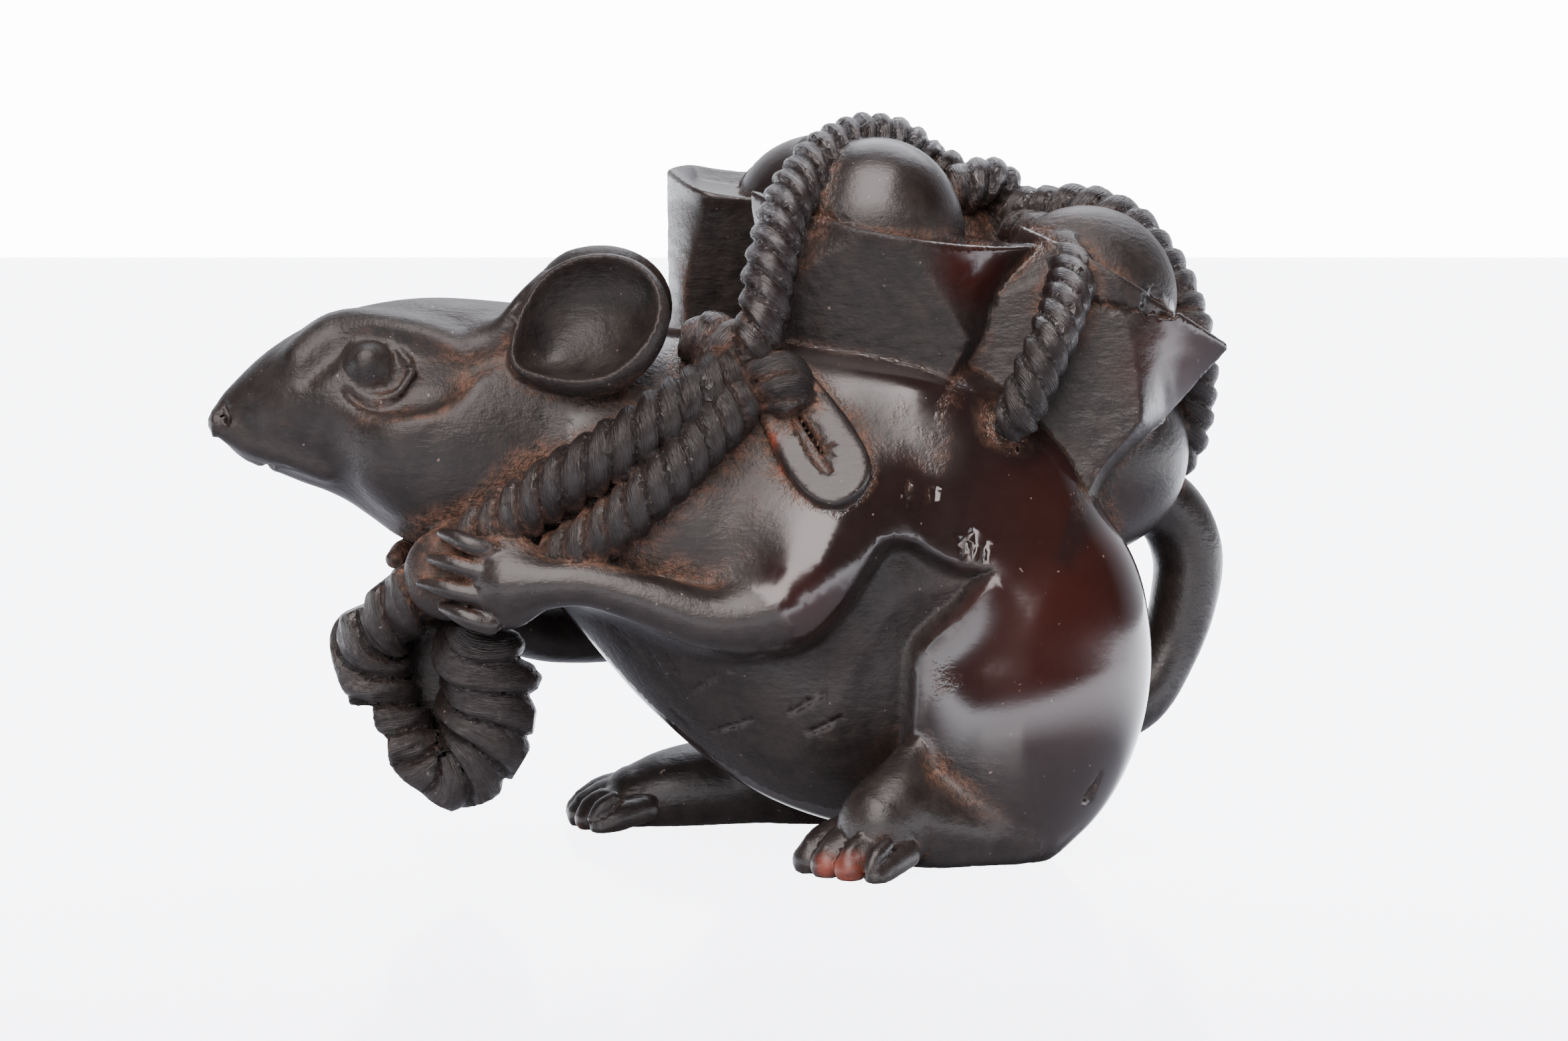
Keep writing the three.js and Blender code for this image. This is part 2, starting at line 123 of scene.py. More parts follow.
def smooth_way(points, spacing=0.3):
    """A smooth line through the points, sampled evenly enough, with every column carried along."""
    points = np.asarray(points, float)
    padded = np.vstack([2 * points[0] - points[1], points, 2 * points[-1] - points[-2]])
    way = []
    for i in range(1, len(padded) - 2):
        a, b, c, d = padded[i - 1 : i + 3]
        knots = [0.0]
        for left, right in ((a, b), (b, c), (c, d)):
            knots.append(knots[-1] + max(np.linalg.norm(right[:3] - left[:3]), 1e-6) ** 0.5)
        count = max(int(np.linalg.norm(c[:3] - b[:3]) / spacing), 2)
        for t in np.linspace(knots[1], knots[2], count, endpoint=False):
            ab = a + (b - a) * (t - knots[0]) / (knots[1] - knots[0])
            bc = b + (c - b) * (t - knots[1]) / (knots[2] - knots[1])
            cd = c + (d - c) * (t - knots[2]) / (knots[3] - knots[2])
            abc = ab + (bc - ab) * (t - knots[0]) / (knots[2] - knots[0])
            bcd = bc + (cd - bc) * (t - knots[1]) / (knots[3] - knots[1])
            way.append(abc + (bcd - abc) * (t - knots[1]) / (knots[2] - knots[1]))
    way.append(padded[-2])
    return np.array(way)


AT_ONCE = 20000  # points measured in one go, to keep memory small


def from_way(p, way):
    """Distance from points to a sampled line, and the share of each sample that is nearest."""
    line = way[:, :3]
    best = np.empty(len(p))
    place = np.empty(len(p))
    for start in range(0, len(p), AT_ONCE):
        some = p[start : start + AT_ONCE]
        squared = (some**2).sum(1)[:, None] - 2 * some @ line.T + (line**2).sum(1)
        nearest = squared.argmin(1)
        found = np.full(len(some), np.inf)
        share = np.zeros(len(some))
        for shift in (-1, 0):
            first = np.clip(nearest + shift, 0, len(line) - 2)
            step = line[first + 1] - line[first]
            t = ((some - line[first]) * step).sum(1) / np.maximum((step**2).sum(1), 1e-9)
            t = np.clip(t, 0, 1)
            gap = np.linalg.norm(some - line[first] - t[:, None] * step, axis=1)
            better = gap < found
            found[better] = gap[better]
            share[better] = (first + t)[better]
        best[start : start + AT_ONCE] = found
        place[start : start + AT_ONCE] = share
    return best, place


def limb(stations, blend=0.3, flat=1.0):
    """A limb through stations of x, y, z, radius. A flat limb is lower than it is wide."""
    way = smooth_way(stations)
    way[:, 2] /= flat
    reach = way[:, 3].max()

    def distance(p):
        q = p * (1, 1, 1 / flat)
        gap, place = from_way(q, way)
        return (gap - np.interp(place, np.arange(len(way)), way[:, 3])) * min(flat, 1)

    low = way[:, :3].min(0) - reach
    high = way[:, :3].max(0) + reach
    scale = np.array((1, 1, flat))
    return {"distance": distance, "low": low * scale, "high": high * scale, "blend": blend}


def within(p, low, high, margin):
    return np.all((p > low - margin) & (p < high + margin), axis=1)


def ball(at, r, lean=0.0, blend=0.3):
    """An egg as a mass that joins the others."""
    at, r = np.array(at), np.array(r)
    return {"distance": lambda p: egg(p, at, r, lean), "low": at - r, "high": at + r, "blend": blend}


def join(d, p, mass, margin=1.0):
    """Lets a mass swell into the field's distances d, wherever it is near."""
    near = within(p, mass["low"], mass["high"], margin)
    if near.any():
        d[near] = soft_min(d[near], mass["distance"](p[near]), mass["blend"])


def carve_out(d, p, hollow, margin=0.5):
    """Takes a hollow out of the field's distances d, wherever it is near."""
    near = within(p, hollow["low"], hollow["high"], margin)
    if near.any():
        d[near] = soft_cut(d[near], hollow["distance"](p[near]), hollow["blend"])


# Trunk and head

NEAR_UPPER_ARM = limb([
    (1.6, -11.5, 12.3, 1.5), (3.4, -11.3, 13.0, 1.8), (5.0, -10.5, 14.8, 2.2), (6.4, -9.2, 17.0, 2.6),
], 1.8)
TRUNK = [
    dict(at=(5.2, 0, 9.6), r=(8.6, 8.8, 8.8)),
    dict(at=(-0.7, 0, 10.0), r=(8.4, 8.6, 7.7)),
    dict(at=(1.6, 0, 15.2), r=(9.1, 8.6, 7.8), lean=20),
    dict(at=(1.6, 0.4, 19.0), r=(8.6, 7.8, 4.8), lean=10),
    dict(at=(-7.6, 0, 15.4), r=(6.4, 7.2, 7.8)),
    dict(at=(-11.6, 1.2, 19.2), r=(6.6, 5.8, 6.6)),
]
NEAR_HAUNCH = dict(at=(5.8, -7.9, 8.7), r=(5.8, 4.9, 8.6), lean=-12)
# the near side of the back runs on into the haunch
NEAR_BACK = limb([
    (2.0, -5.5, 15.6, 4.6), (7.5, -5.9, 15.9, 4.75), (12.0, -5.9, 14.4, 4.7), (14.4, -5.7, 13.2, 4.5),
], 2.0)
# and up to the foot of the ingots
UNDER_LOAD = limb([(2.0, -5.5, 21.6, 3.7), (9.8, -5.5, 20.2, 3.8), (13.6, -4.8, 17.8, 3.6)], 2.4)
FAR_HAUNCH = dict(at=(3.2, 8.0, 8.4), r=(6.2, 4.6, 8.4), lean=-12)
NEAR_SHOULDER = dict(at=(-4.4, -6.6, 14.6), r=(3.8, 3.0, 4.6), lean=20)
FAR_SHOULDER = dict(at=(-6.0, 6.2, 14.6), r=(3.8, 3.0, 4.6), lean=20)

# The near flank is cut in below this line of [x, z], from the elbow over the flank to the ankle
FLANK_LINE = [
    (-9.5, 13.3), (-6.5, 12.9), (-3.9, 12.3), (-2.2, 11.5), (-0.6, 10.95), (1.1, 10.85), (3.6, 11.3),
    (5.1, 12.6), (6.1, 13.9), (7.0, 15.4), (7.8, 16.1), (9.1, 16.0), (10.3, 15.3), (11.2, 14.9),
    (13.1, 14.5), (12.6, 13.7), (11.7, 12.5), (10.6, 11.6),
    (9.7, 10.6), (9.5, 8.6), (9.4, 6.2), (9.6, 4.6),
]
FLANK_REST = [(9.0, -1.0), (-13.0, -1.0), (-13.0, 13.3)]


def inside_outline(x, z, corners):
    """Whether points lie inside a closed outline in the X-Z plane."""
    inside = np.zeros(len(x), bool)
    for (x0, z0), (x1, z1) in zip(corners, corners[1:] + corners[:1]):
        crosses = (z0 > z) != (z1 > z)
        if z1 != z0:
            inside ^= crosses & (x < x0 + (z - z0) / (z1 - z0) * (x1 - x0))
    return inside


FLANK_WAY = smooth_way([(x, 0.0, z) for x, z in FLANK_LINE], 0.4)


def on_flank(p):
    """Distance from the flank's line, and whether points lie below it on the near side."""
    gap = np.full(len(p), FAR)
    inside = np.zeros(len(p), bool)
    near = np.flatnonzero((p[:, 1] < -3) & (p[:, 2] < 18) & (p[:, 0] > -14) & (p[:, 0] < 15))
    if len(near):
        x, z = p[near, 0], p[near, 2]
        gap[near], _ = from_way(np.stack([x, np.zeros(len(x)), z], 1), FLANK_WAY)
        inside[near] = inside_outline(x, z, FLANK_LINE + FLANK_REST)
    return gap, inside


def flank_depth(p):
    """How far the near flank lies below the polished back and haunch."""
    gap, inside = on_flank(p)
    step = np.clip(gap / 1.0, 0, 1)
    fade = np.clip(1 - gap / 10, 0, 1) ** 2 * np.clip((-4.0 - p[:, 1]) / 3.5, 0, 1)
    return np.where(inside, step * step * (3 - 2 * step) * fade, 0)


def table(points):
    way = smooth_way([(x, 0.0, v) for x, v in points], 0.1)
    return way[:, 0], way[:, 2]


HEAD_TOP = table([
    (-14.75, 21.45), (-14.35, 22.25), (-13.6, 23.1), (-12.2, 24.4), (-10.4, 25.55), (-8.4, 26.35),
    (-6.3, 26.8), (-4.2, 26.95), (-0.7, 26.7), (2.2, 26.3),
])
HEAD_UNDER = table([
    (-14.75, 21.3), (-14.5, 20.85), (-14.0, 20.1), (-13.3, 19.45), (-12.5, 19.05), (-11.6, 18.75),
    (-10.5, 18.3), (-9.4, 17.9), (-8.4, 17.4), (-7.4, 16.7), (-5.9, 15.65), (-3.0, 14.6), (2.2, 14.0),
])
HEAD_WIDE = table([
    (-14.75, 0.15), (-14.4, 0.75), (-13.6, 1.3), (-11.8, 2.4), (-9.6, 3.35), (-7.6, 4.1),
    (-4.8, 4.85), (-1.8, 5.25), (2.2, 5.3),
])
HEAD_ENDS = (-14.75, 2.2)


def head_section(x):
    top, under = np.interp(x, *HEAD_TOP), np.interp(x, *HEAD_UNDER)
    return np.interp(x, *HEAD_WIDE), (top + under) / 2, np.maximum((top - under) / 2, 0.08)


def head_distance(q):
    def level(x):
        wide, middle, tall = head_section(x)
        return np.sqrt((q[:, 1] / wide) ** 2 + ((q[:, 2] - middle) / tall) ** 2)

    x = np.clip(q[:, 0], *HEAD_ENDS)
    wide, middle, tall = head_section(x)
    k = np.maximum(level(x), 1e-3)
    along = (level(x + 0.06) - level(x - 0.06)) / 0.12
    steep = np.sqrt(
        along**2 + (q[:, 1] / wide**2 / k) ** 2 + ((q[:, 2] - middle) / tall**2 / k) ** 2
    )
    d = (k - 1) / np.maximum(steep, 1e-3)
    return np.maximum(d, np.maximum(HEAD_ENDS[0] - q[:, 0], q[:, 0] - HEAD_ENDS[1]))


def head_side(x, z, lift=0.0):
    """How far the side of the head stands out at [along, up]."""
    wide, middle, tall = (float(v) for v in head_section(x))
    inner = max(1 - ((z - middle) / tall) ** 2, 0.02)
    return wide * math.sqrt(inner) + lift


def on_head(points, lift, radius):
    """Stations on the side of the head from points of [along, up]."""
    return [(x, head_side(x, z, lift), z, radius) for x, z in points]


# Face: drawn once on the head's side and mirrored to the other one
BROW = limb(on_head([
    (-10.7, 24.2), (-9.9, 25.0), (-9.0, 25.6), (-7.9, 25.75), (-6.8, 25.6), (-5.5, 25.35), (-4.4, 25.0),
    (-3.4, 24.6), (-2.6, 24.8), (-1.9, 25.2),
], -0.4, 0.46))
UNDER_BROW = limb([(*station[:3], r) for station, r in zip(on_head([
    (-10.4, 23.3), (-9.6, 24.1), (-8.7, 24.75), (-7.7, 24.95), (-6.6, 24.8), (-5.4, 24.5), (-4.4, 24.1),
    (-3.5, 23.75), (-2.7, 23.9), (-1.9, 24.4),
], 0.3, 0), (0.3, 0.5, 0.62, 0.66, 0.62, 0.56, 0.5, 0.42, 0.36, 0.3))])
SOCKET = dict(at=(-7.0, 4.85, 23.6), r=(3.8, 1.4, 1.95), lean=-6)
EYE = dict(at=(-7.45, 2.98, 23.8), r=(1.22, 0.85, 1.2))
IRIS = dict(at=(-7.6, 3.45, 24.0), r=(0.78, 0.46, 0.78))
UPPER_LID = limb(on_head([
    (-8.75, 23.8), (-8.2, 24.75), (-7.3, 25.05), (-6.4, 24.75), (-5.7, 24.0),
], -0.5, 0.17))
LOWER_LID = limb(on_head([
    (-8.7, 23.8), (-8.35, 22.9), (-7.4, 22.35), (-6.3, 22.6), (-5.6, 23.5),
], -0.5, 0.2))
UNDER_LID = limb(on_head([
    (-8.5, 22.6), (-7.9, 22.05), (-6.9, 21.85), (-5.9, 22.2), (-5.3, 22.8),
], -0.22, 0.12))
CHEEK_FOLD = limb(on_head([(-4.7, 23.2), (-5.5, 22.0), (-6.2, 20.9), (-6.5, 19.6)], -0.5, 0.75))
CHEEK = dict(at=(-4.2, 3.4, 20.0), r=(3.8, 1.9, 3.2))
LIP_EDGE = limb(on_head(
    [(-14.3, 21.1), (-13.8, 20.75), (-13.0, 20.25), (-11.8, 19.8), (-10.6, 19.4), (-9.6, 19.0)], -0.26, 0.42
))
MOUTH = limb([
    (-12.3, 0.0, 18.95, 0.22), (-11.9, 1.2, 19.05, 0.26), (-11.3, 1.95, 18.9, 0.28),
    (-10.7, 2.35, 18.65, 0.24), (-10.1, 2.55, 18.4, 0.12),
])
NOSTRIL = dict(at=(-14.25, 0.72, 21.4), r=(0.2, 0.22, 0.12), lean=-20)
NOSE_CREASE = limb([(-14.2, 0.75, 22.1, 0.1), (-13.95, 1.1, 21.5, 0.13), (-14.0, 1.0, 20.8, 0.1)])


FACE_FROM, FACE_DEPTH = -0.4, 2.5  # the face lies left of this place along the head, this near its skin

# What is added to the face or cut from it in turn, with how wide the join is rounded
FACE = [
    (soft_min, BROW["distance"], 1.1),
    (soft_min, CHEEK_FOLD["distance"], 1.4),
    (soft_cut, lambda p: egg(p, **SOCKET), 0.8),
    (soft_cut, UNDER_BROW["distance"], 0.6),
    (soft_min, lambda p: egg(p, **EYE), 0.1),
    (soft_min, LOWER_LID["distance"], 0.25),
    (soft_min, UPPER_LID["distance"], 0.25),
    (soft_cut, UNDER_LID["distance"], 0.3),
    (soft_min, lambda p: egg(p, **IRIS), 0.04),
    (soft_min, LIP_EDGE["distance"], 0.7),
    (soft_cut, MOUTH["distance"], 0.08),
    (soft_cut, lambda p: egg(p, **NOSTRIL), 0.1),
    (soft_cut, NOSE_CREASE["distance"], 0.12),
]


def head_field(p):
    q = into_head(p)
    d = head_distance(q)
    half = q.copy()
    half[:, 1] = np.abs(half[:, 1])
    d = soft_min(d, egg(half, **CHEEK), 1.8)
    face = (d < FACE_DEPTH) & (q[:, 0] < FACE_FROM)
    if face.any():
        for change, feature, width in FACE:
            d[face] = change(d[face], feature(half[face]), width)
    return d


def trunk_field(p):
    q = into_body(p)
    d = np.full(len(p), 1e3)
    for mass in TRUNK:
        d = soft_min(d, egg(q, **mass), 4)
    d = soft_min(d, egg(q, **NEAR_HAUNCH), 1.8)
    d = soft_min(d, egg(q, **FAR_HAUNCH), 1.2)
    for swell in (NEAR_BACK, UNDER_LOAD):
        join(d, p, swell, margin=3)
    d = soft_min(d, egg(q, **NEAR_SHOULDER), 2)
    d = soft_min(d, egg(q, **FAR_SHOULDER), 2)
    join(d, p, NEAR_UPPER_ARM, margin=2.5)
    return d + flank_depth(p)


def body_field(p):
    return soft_min(trunk_field(p), head_field(p), 0.5)


CLEAR_OF_BODY = 22.0
STEPS_TO_BODY = 80


def on_body(x, z, lift, side):
    """The point that stands off the body by a lift where X and Z are given, seen from one side."""
    y = side * CLEAR_OF_BODY
    for _ in range(STEPS_TO_BODY):
        gap = float(body_field(np.array([[x, y, z]]))[0]) - lift
        if abs(gap) < 0.01:
            break
        y -= side * gap * 0.6
    return x, float(np.clip(y, -CLEAR_OF_BODY, CLEAR_OF_BODY)), z


# Ears, limbs and tail


def unit(v):
    return np.array(v) / np.linalg.norm(v)


EAR = dict(at=(0, 0, 0), r=(4.0, 3.4, 2.0))
EAR_HOLLOW = dict(at=(0.15, 0.12, 1.35), r=(3.55, 2.85, 2.5))
EAR_CANAL = dict(at=(-1.6, 0, 0.4), r=(1.7, 1.4, 1.6))
EAR_REACH = 4.6
EAR_TAPER = 0.42  # how much narrower the root is than the middle


def ear(at, along, opening):
    """A thick leaf, pointed at its root and broad at its tip, hollowed on its open side."""
    opening = unit(opening)
    along = unit(np.array(along) - opening * np.dot(along, opening))
    turn = np.stack([along, np.cross(opening, along), opening], axis=1)
    at = np.array(at)

    def leaf(p):
        q = (p - at) @ turn
        q[:, 1] /= 1 - EAR_TAPER * np.clip(-q[:, 0] / 4.1, 0, 1.1) ** 1.5
        return q

    def hollow(p):
        q = leaf(p)
        return soft_min(egg(q, **EAR_HOLLOW), egg(q, **EAR_CANAL), 0.5)

    def distance(p):
        return soft_cut(egg(leaf(p), **EAR), hollow(p), 0.3)

    low, high = at - EAR_REACH, at + EAR_REACH
    return {"distance": distance, "hollow": hollow, "low": low, "high": high, "blend": 0.3}


def foot(stations, heading, length, pitch, radius):
    """A hind foot: the sole, and four toes, each with a knuckle and a nail, that fan out from it."""
    ahead = np.array([math.cos(math.radians(heading)), math.sin(math.radians(heading)), 0])
    across = np.array([-ahead[1], ahead[0], 0])
    root = np.array(stations[-1][:3])
    parts = [limb(stations, 1.0, 0.96)]
    nails = []
    for n in range(4):
        offset = n - 1.5
        half = ahead * length * (1 - 0.05 * offset * offset) / 2 + across * offset * 0.12
        start = root + across * offset * pitch
        spots = [start, start + half * 1.1, start + 1.9 * half]
        heights = (2.0, 1.55, 0.95)
        thick = radius * (1.05, 1.05, 0.95, 0.72)[n]
        widths = (thick * 0.95, thick, thick * 0.78)
        stations_of_toe = [(s[0], s[1], h * min(1, thick), w) for s, h, w in zip(spots, heights, widths)]
        parts.append(limb(stations_of_toe, 0.14))
        nail_root = spots[2] - ahead * 0.7
        tip = spots[2] + ahead * 0.4
        nails.append(limb([
            (nail_root[0], nail_root[1], 2.05, 0.34),
            (spots[2][0], spots[2][1], 1.6, 0.4),
            (tip[0], tip[1], 1.05, 0.28),
        ], 0.03))
    return parts + nails


NEAR_EAR = ear((-5.9, -10.6, 25.6), (0.86, -0.1, 0.5), (-0.22, -0.93, 0.3))
FAR_EAR = ear((-6.2, 0.4, 26.0), (0.9, 0.1, 0.35), (-0.1, 0.93, 0.3))
PALM = ball((-9.7, -11.9, 14.1), (2.0, 1.2, 2.3), blend=0.8)
FIST = ball((-12.2, -10.7, 14.3), (2.2, 1.45, 2.2), lean=14, blend=0.5)

MASSES = [
    # ear roots: the front fold of each ear runs down into the top of the head
    limb([(-12.2, -8.6, 24.0, 0.4), (-10.7, -9.4, 24.6, 0.55), (-9.6, -9.8, 25.7, 0.6),
          (-8.8, -9.7, 26.9, 0.45), (-7.9, -9.5, 27.9, 0.35)], 0.8),
    limb([(-9.4, -8.6, 23.4, 0.9), (-7.6, -8.5, 24.0, 1.3), (-6.0, -8.0, 24.6, 1.4)], 1.0),
    limb([(-12.0, -1.6, 24.6, 0.7), (-10.2, -1.4, 25.0, 1.0), (-7.8, -1.2, 25.2, 1.3)], 1.0),
    NEAR_EAR,
    FAR_EAR,
    # near forearm and palm
    limb([
        (3.0, -11.5, 12.6, 1.6), (-0.1, -12.1, 12.3, 1.42), (-3.0, -12.45, 13.2, 1.2),
        (-5.9, -12.6, 14.0, 1.08), (-7.8, -12.5, 14.0, 1.2), (-9.4, -12.2, 13.9, 1.5),
    ], 0.5),
    PALM,
    FIST,
    # far arm
    limb([
        (*from_body(-6.5, 6.6, 14.0), 2.4), (-4.0, 4.2, 11.4, 2.3), (-8.0, 1.6, 10.6, 1.7),
        (-11.6, -2.6, 11.8, 1.4), (-13.0, -5.8, 13.0, 1.7),
    ], 0.7),
    # tail
    limb([
        (18.0, 2.4, 6.2, 1.9), (20.6, 3.2, 7.0, 1.55), (22.1, 3.8, 9.2, 1.5), (22.9, 4.0, 11.6, 1.65),
        (23.1, 3.9, 14.2, 1.75), (22.0, 3.3, 16.4, 1.75), (19.6, 2.4, 17.4, 1.9),
    ], 0.9),
    # shin and instep of the near foot, and the low wedge behind it
    limb([(9.0, -9.4, 5.4, 0.9), (8.4, -10.2, 4.2, 1.35), (7.6, -10.9, 3.0, 1.7)], 0.7),
    limb([(8.6, -10.2, 3.2, 1.7), (11.0, -9.6, 2.4, 1.5), (13.8, -8.6, 1.8, 1.1)], 0.8),
    *foot([(14.4, -6.2, 1.9, 1.8), (10.8, -8.2, 2.2, 2.1), (8.4, -9.6, 2.6, 2.2), (7.5, -10.6, 2.0, 1.85)],
          -136, 2.75, 1.22, 0.98),
    *foot([(5.0, 7.4, 2.1, 2.0), (0.5, 6.4, 2.4, 2.3), (-2.6, 5.6, 2.1, 2.1), (-4.2, 5.2, 1.8, 1.7)],
          -164, 2.8, 1.15, 0.98),
]


# Ingots

INGOT = dict(length=13.8, width=8.6, height=6.6, base=9.2, base_width=7.2, dome=(8.8, 7.6))
INGOT_PLACES = [
    dict(at=(4.1, 5.0, 25.7), turn=4, tilt=1, lean=9, tall=1.0, foot=1.45, rise=0.8, dome=(1.0, 2.6)),
    dict(at=(7.1, -3.7, 24.0), turn=-6, tilt=11, lean=4, tall=0.97, foot=1.04, rise=0.45, dome=(-0.8, 4.2)),
    dict(at=(14.4, -2.7, 20.7), turn=-6, tilt=29, lean=-8, tall=1.25, foot=1.1, rise=0.1, dome=(-0.3, 2.5),
         end=-4.6, chipped=True),
    dict(at=(13.0, 5.9, 20.6), turn=10, tilt=20, lean=-22, tall=1.0, foot=1.0, rise=0.6, dome=(0.0, 3.6)),
]


def splintered(q, z, wall):
    """The long wall with a splinter gone from its near rim, and a crack that runs on from it."""
    start, fork, end = -1.1, 2.3, 3.9
    crack = INGOT["height"] - 1.75 + 0.27 * (q[:, 0] - start) + 0.06 * np.sin(q[:, 0] * 9)
    near_side = q[:, 1] < 0
    lost = near_side & (q[:, 0] > fork) & (q[:, 0] < end) & (z > crack)
    gap = np.clip(1 - np.abs(z - crack) / 0.16, 0, 1) * near_side * (q[:, 0] > start) * (q[:, 0] < fork)
    return np.where(lost, wall + 0.8, wall) + 0.3 * gap


def turned_by(turn, tilt, lean):
    """The matrix of a lean about X, then a tilt about Y, then a turn about Z."""
    a, b, c = math.radians(lean), math.radians(tilt), math.radians(turn)
    rx = np.array([[1, 0, 0], [0, math.cos(a), -math.sin(a)], [0, math.sin(a), math.cos(a)]])
    ry = np.array([[math.cos(b), 0, math.sin(b)], [0, 1, 0], [-math.sin(b), 0, math.cos(b)]])
    rz = np.array([[math.cos(c), -math.sin(c), 0], [math.sin(c), math.cos(c), 0], [0, 0, 1]])
    return rz @ ry @ rx


def ingot(at, turn, tilt, lean, tall, foot, rise, dome, end=-9.0, chipped=False):
    """A boat-shaped ingot: flat long walls, pointed ends that flare near the rim, a dish and a dome."""
    turned = turned_by(turn, tilt, lean)
    origin = np.array(at)
    high = INGOT["height"]
    blunt = foot > 1.2

    def distance(p):
        q = (p - origin) @ turned
        x, y, z = np.abs(q[:, 0]), np.abs(q[:, 1]), q[:, 2] / tall
        share = np.clip(z / high, 0, 1.15)
        # the ends grow out toward the rim, where the plan is a pointed leaf; lower down it is a block
        base = INGOT["base"] * foot / 2
        half_length = base + (INGOT["length"] / 2 - base) * share
        lip = 0.16 * np.clip((share - 0.86) / 0.14, 0, 1) ** 2
        half_width = INGOT["base_width"] / 2 + (INGOT["width"] - INGOT["base_width"]) / 2 * share + lip
        flat = np.interp(share, [0.35, 1.0], [0.86, 0.68 if blunt else 0.02])
        power = 2.6 if blunt else 1.7
        u = x / half_length
        t = np.maximum((u - flat) / (1 - flat), 0)
        edge = half_width * (1 - t**power)
        fall = half_width * power * t ** (power - 1) / (1 - flat) / half_length
        wall = (y - edge) / np.sqrt(1 + fall * fall)
        wall = np.maximum(np.maximum(wall, (x - half_length) * 0.8), end - q[:, 0])
        if chipped:
            wall = splintered(q, z, wall)
        rim = high + rise * np.clip(x / (INGOT["length"] / 2), 0, 1.1) ** 3
        dish = 0.55 * np.clip((-wall - 0.28) / 0.9, 0, 1)
        # the knife left the lower walls a little wavy
        wall = wall + 0.03 * np.clip(1.1 - share, 0, 1) * (
            np.sin(q[:, 0] * 4.1 + 2 * np.sin(z * 1.7)) * np.sin(z * 3.7 + np.sin(q[:, 0] * 2.3)))
        shell = soft_cut(np.maximum(wall, -z - 2.6), -(z - rim + dish), 0.3)
        middle, swell = dome
        length, width = INGOT["dome"]
        body = egg(q / (1, 1, tall), (middle, 0, high - 1.0), (length / 2, width / 2, swell + 1.0))
        body = np.maximum(body, wall + 0.35)
        return soft_min(shell, body, 0.1)

    def tip(p):
        q = (p - origin) @ turned
        along, up = np.abs(q[:, 0]), q[:, 2] / tall
        return (along + 0.9 * up - 7.2) / 1.6 * (up < high + 0.3)

    corners = origin - 9.6, origin + (11.5, 9.6, 13.5)
    return {"distance": distance, "tip": tip, "low": corners[0], "high": corners[1], "blend": 0.0}


INGOTS = [ingot(**place) for place in INGOT_PLACES]


# What fills the bundle behind and between the ingots
CORES = [
    ball((8.2, 0.8, 25.2), (6.6, 3.4, 8.6)),
    ball((14.6, 1.0, 23.6), (4.6, 3.0, 7.0)),
    ball((17.4, 0.4, 19.4), (5.4, 5.2, 5.2)),
]


# Node trees

MATH = "ShaderNodeMath"
VECTOR_MATH = "ShaderNodeVectorMath"
NOISE = "ShaderNodeTexNoise"
RANGE = "ShaderNodeMapRange"
MIX = "ShaderNodeMix"
BLEND = {"out": 2, "data_type": "RGBA"}  # a mix of two colours
STORE = "GeometryNodeStoreNamedAttribute"
READ = "GeometryNodeInputNamedAttribute"


def link(name, data):
    """A new object in the scene that shows the data."""
    made = bpy.data.objects.new(name, data)
    bpy.context.scene.collection.objects.link(made)
    return made


def put(tree, kind, inputs=(), out=0, **settings):
    """Adds a node with its settings and links, and gives one of its outputs.

    The inputs are values or sockets to link from, in order or by name.
    """
    node = tree.nodes.new(kind)
    for name, value in settings.items():
        setattr(node, name, value)
    for key, value in inputs.items() if isinstance(inputs, dict) else enumerate(inputs):
        if isinstance(value, bpy.types.NodeSocket):
            tree.links.new(value, node.inputs[key])
        else:
            node.inputs[key].default_value = value
    return node.outputs[out] if len(node.outputs) else None


ROPE_INPUTS = {
    "Line": "Geometry", "Radius": "Float", "Strands": "Float", "Lay": "Float", "Groove": "Float",
    "Step": "Float", "Unevenness": "Float", "Fibres": "Float", "Sides": "Int", "Wood": "Material",
}
ROPE_DEFAULTS = {"Radius": 1.4, "Strands": 3.0, "Lay": 3.4, "Groove": 0.3, "Step": 0.14, "Sides": 48}


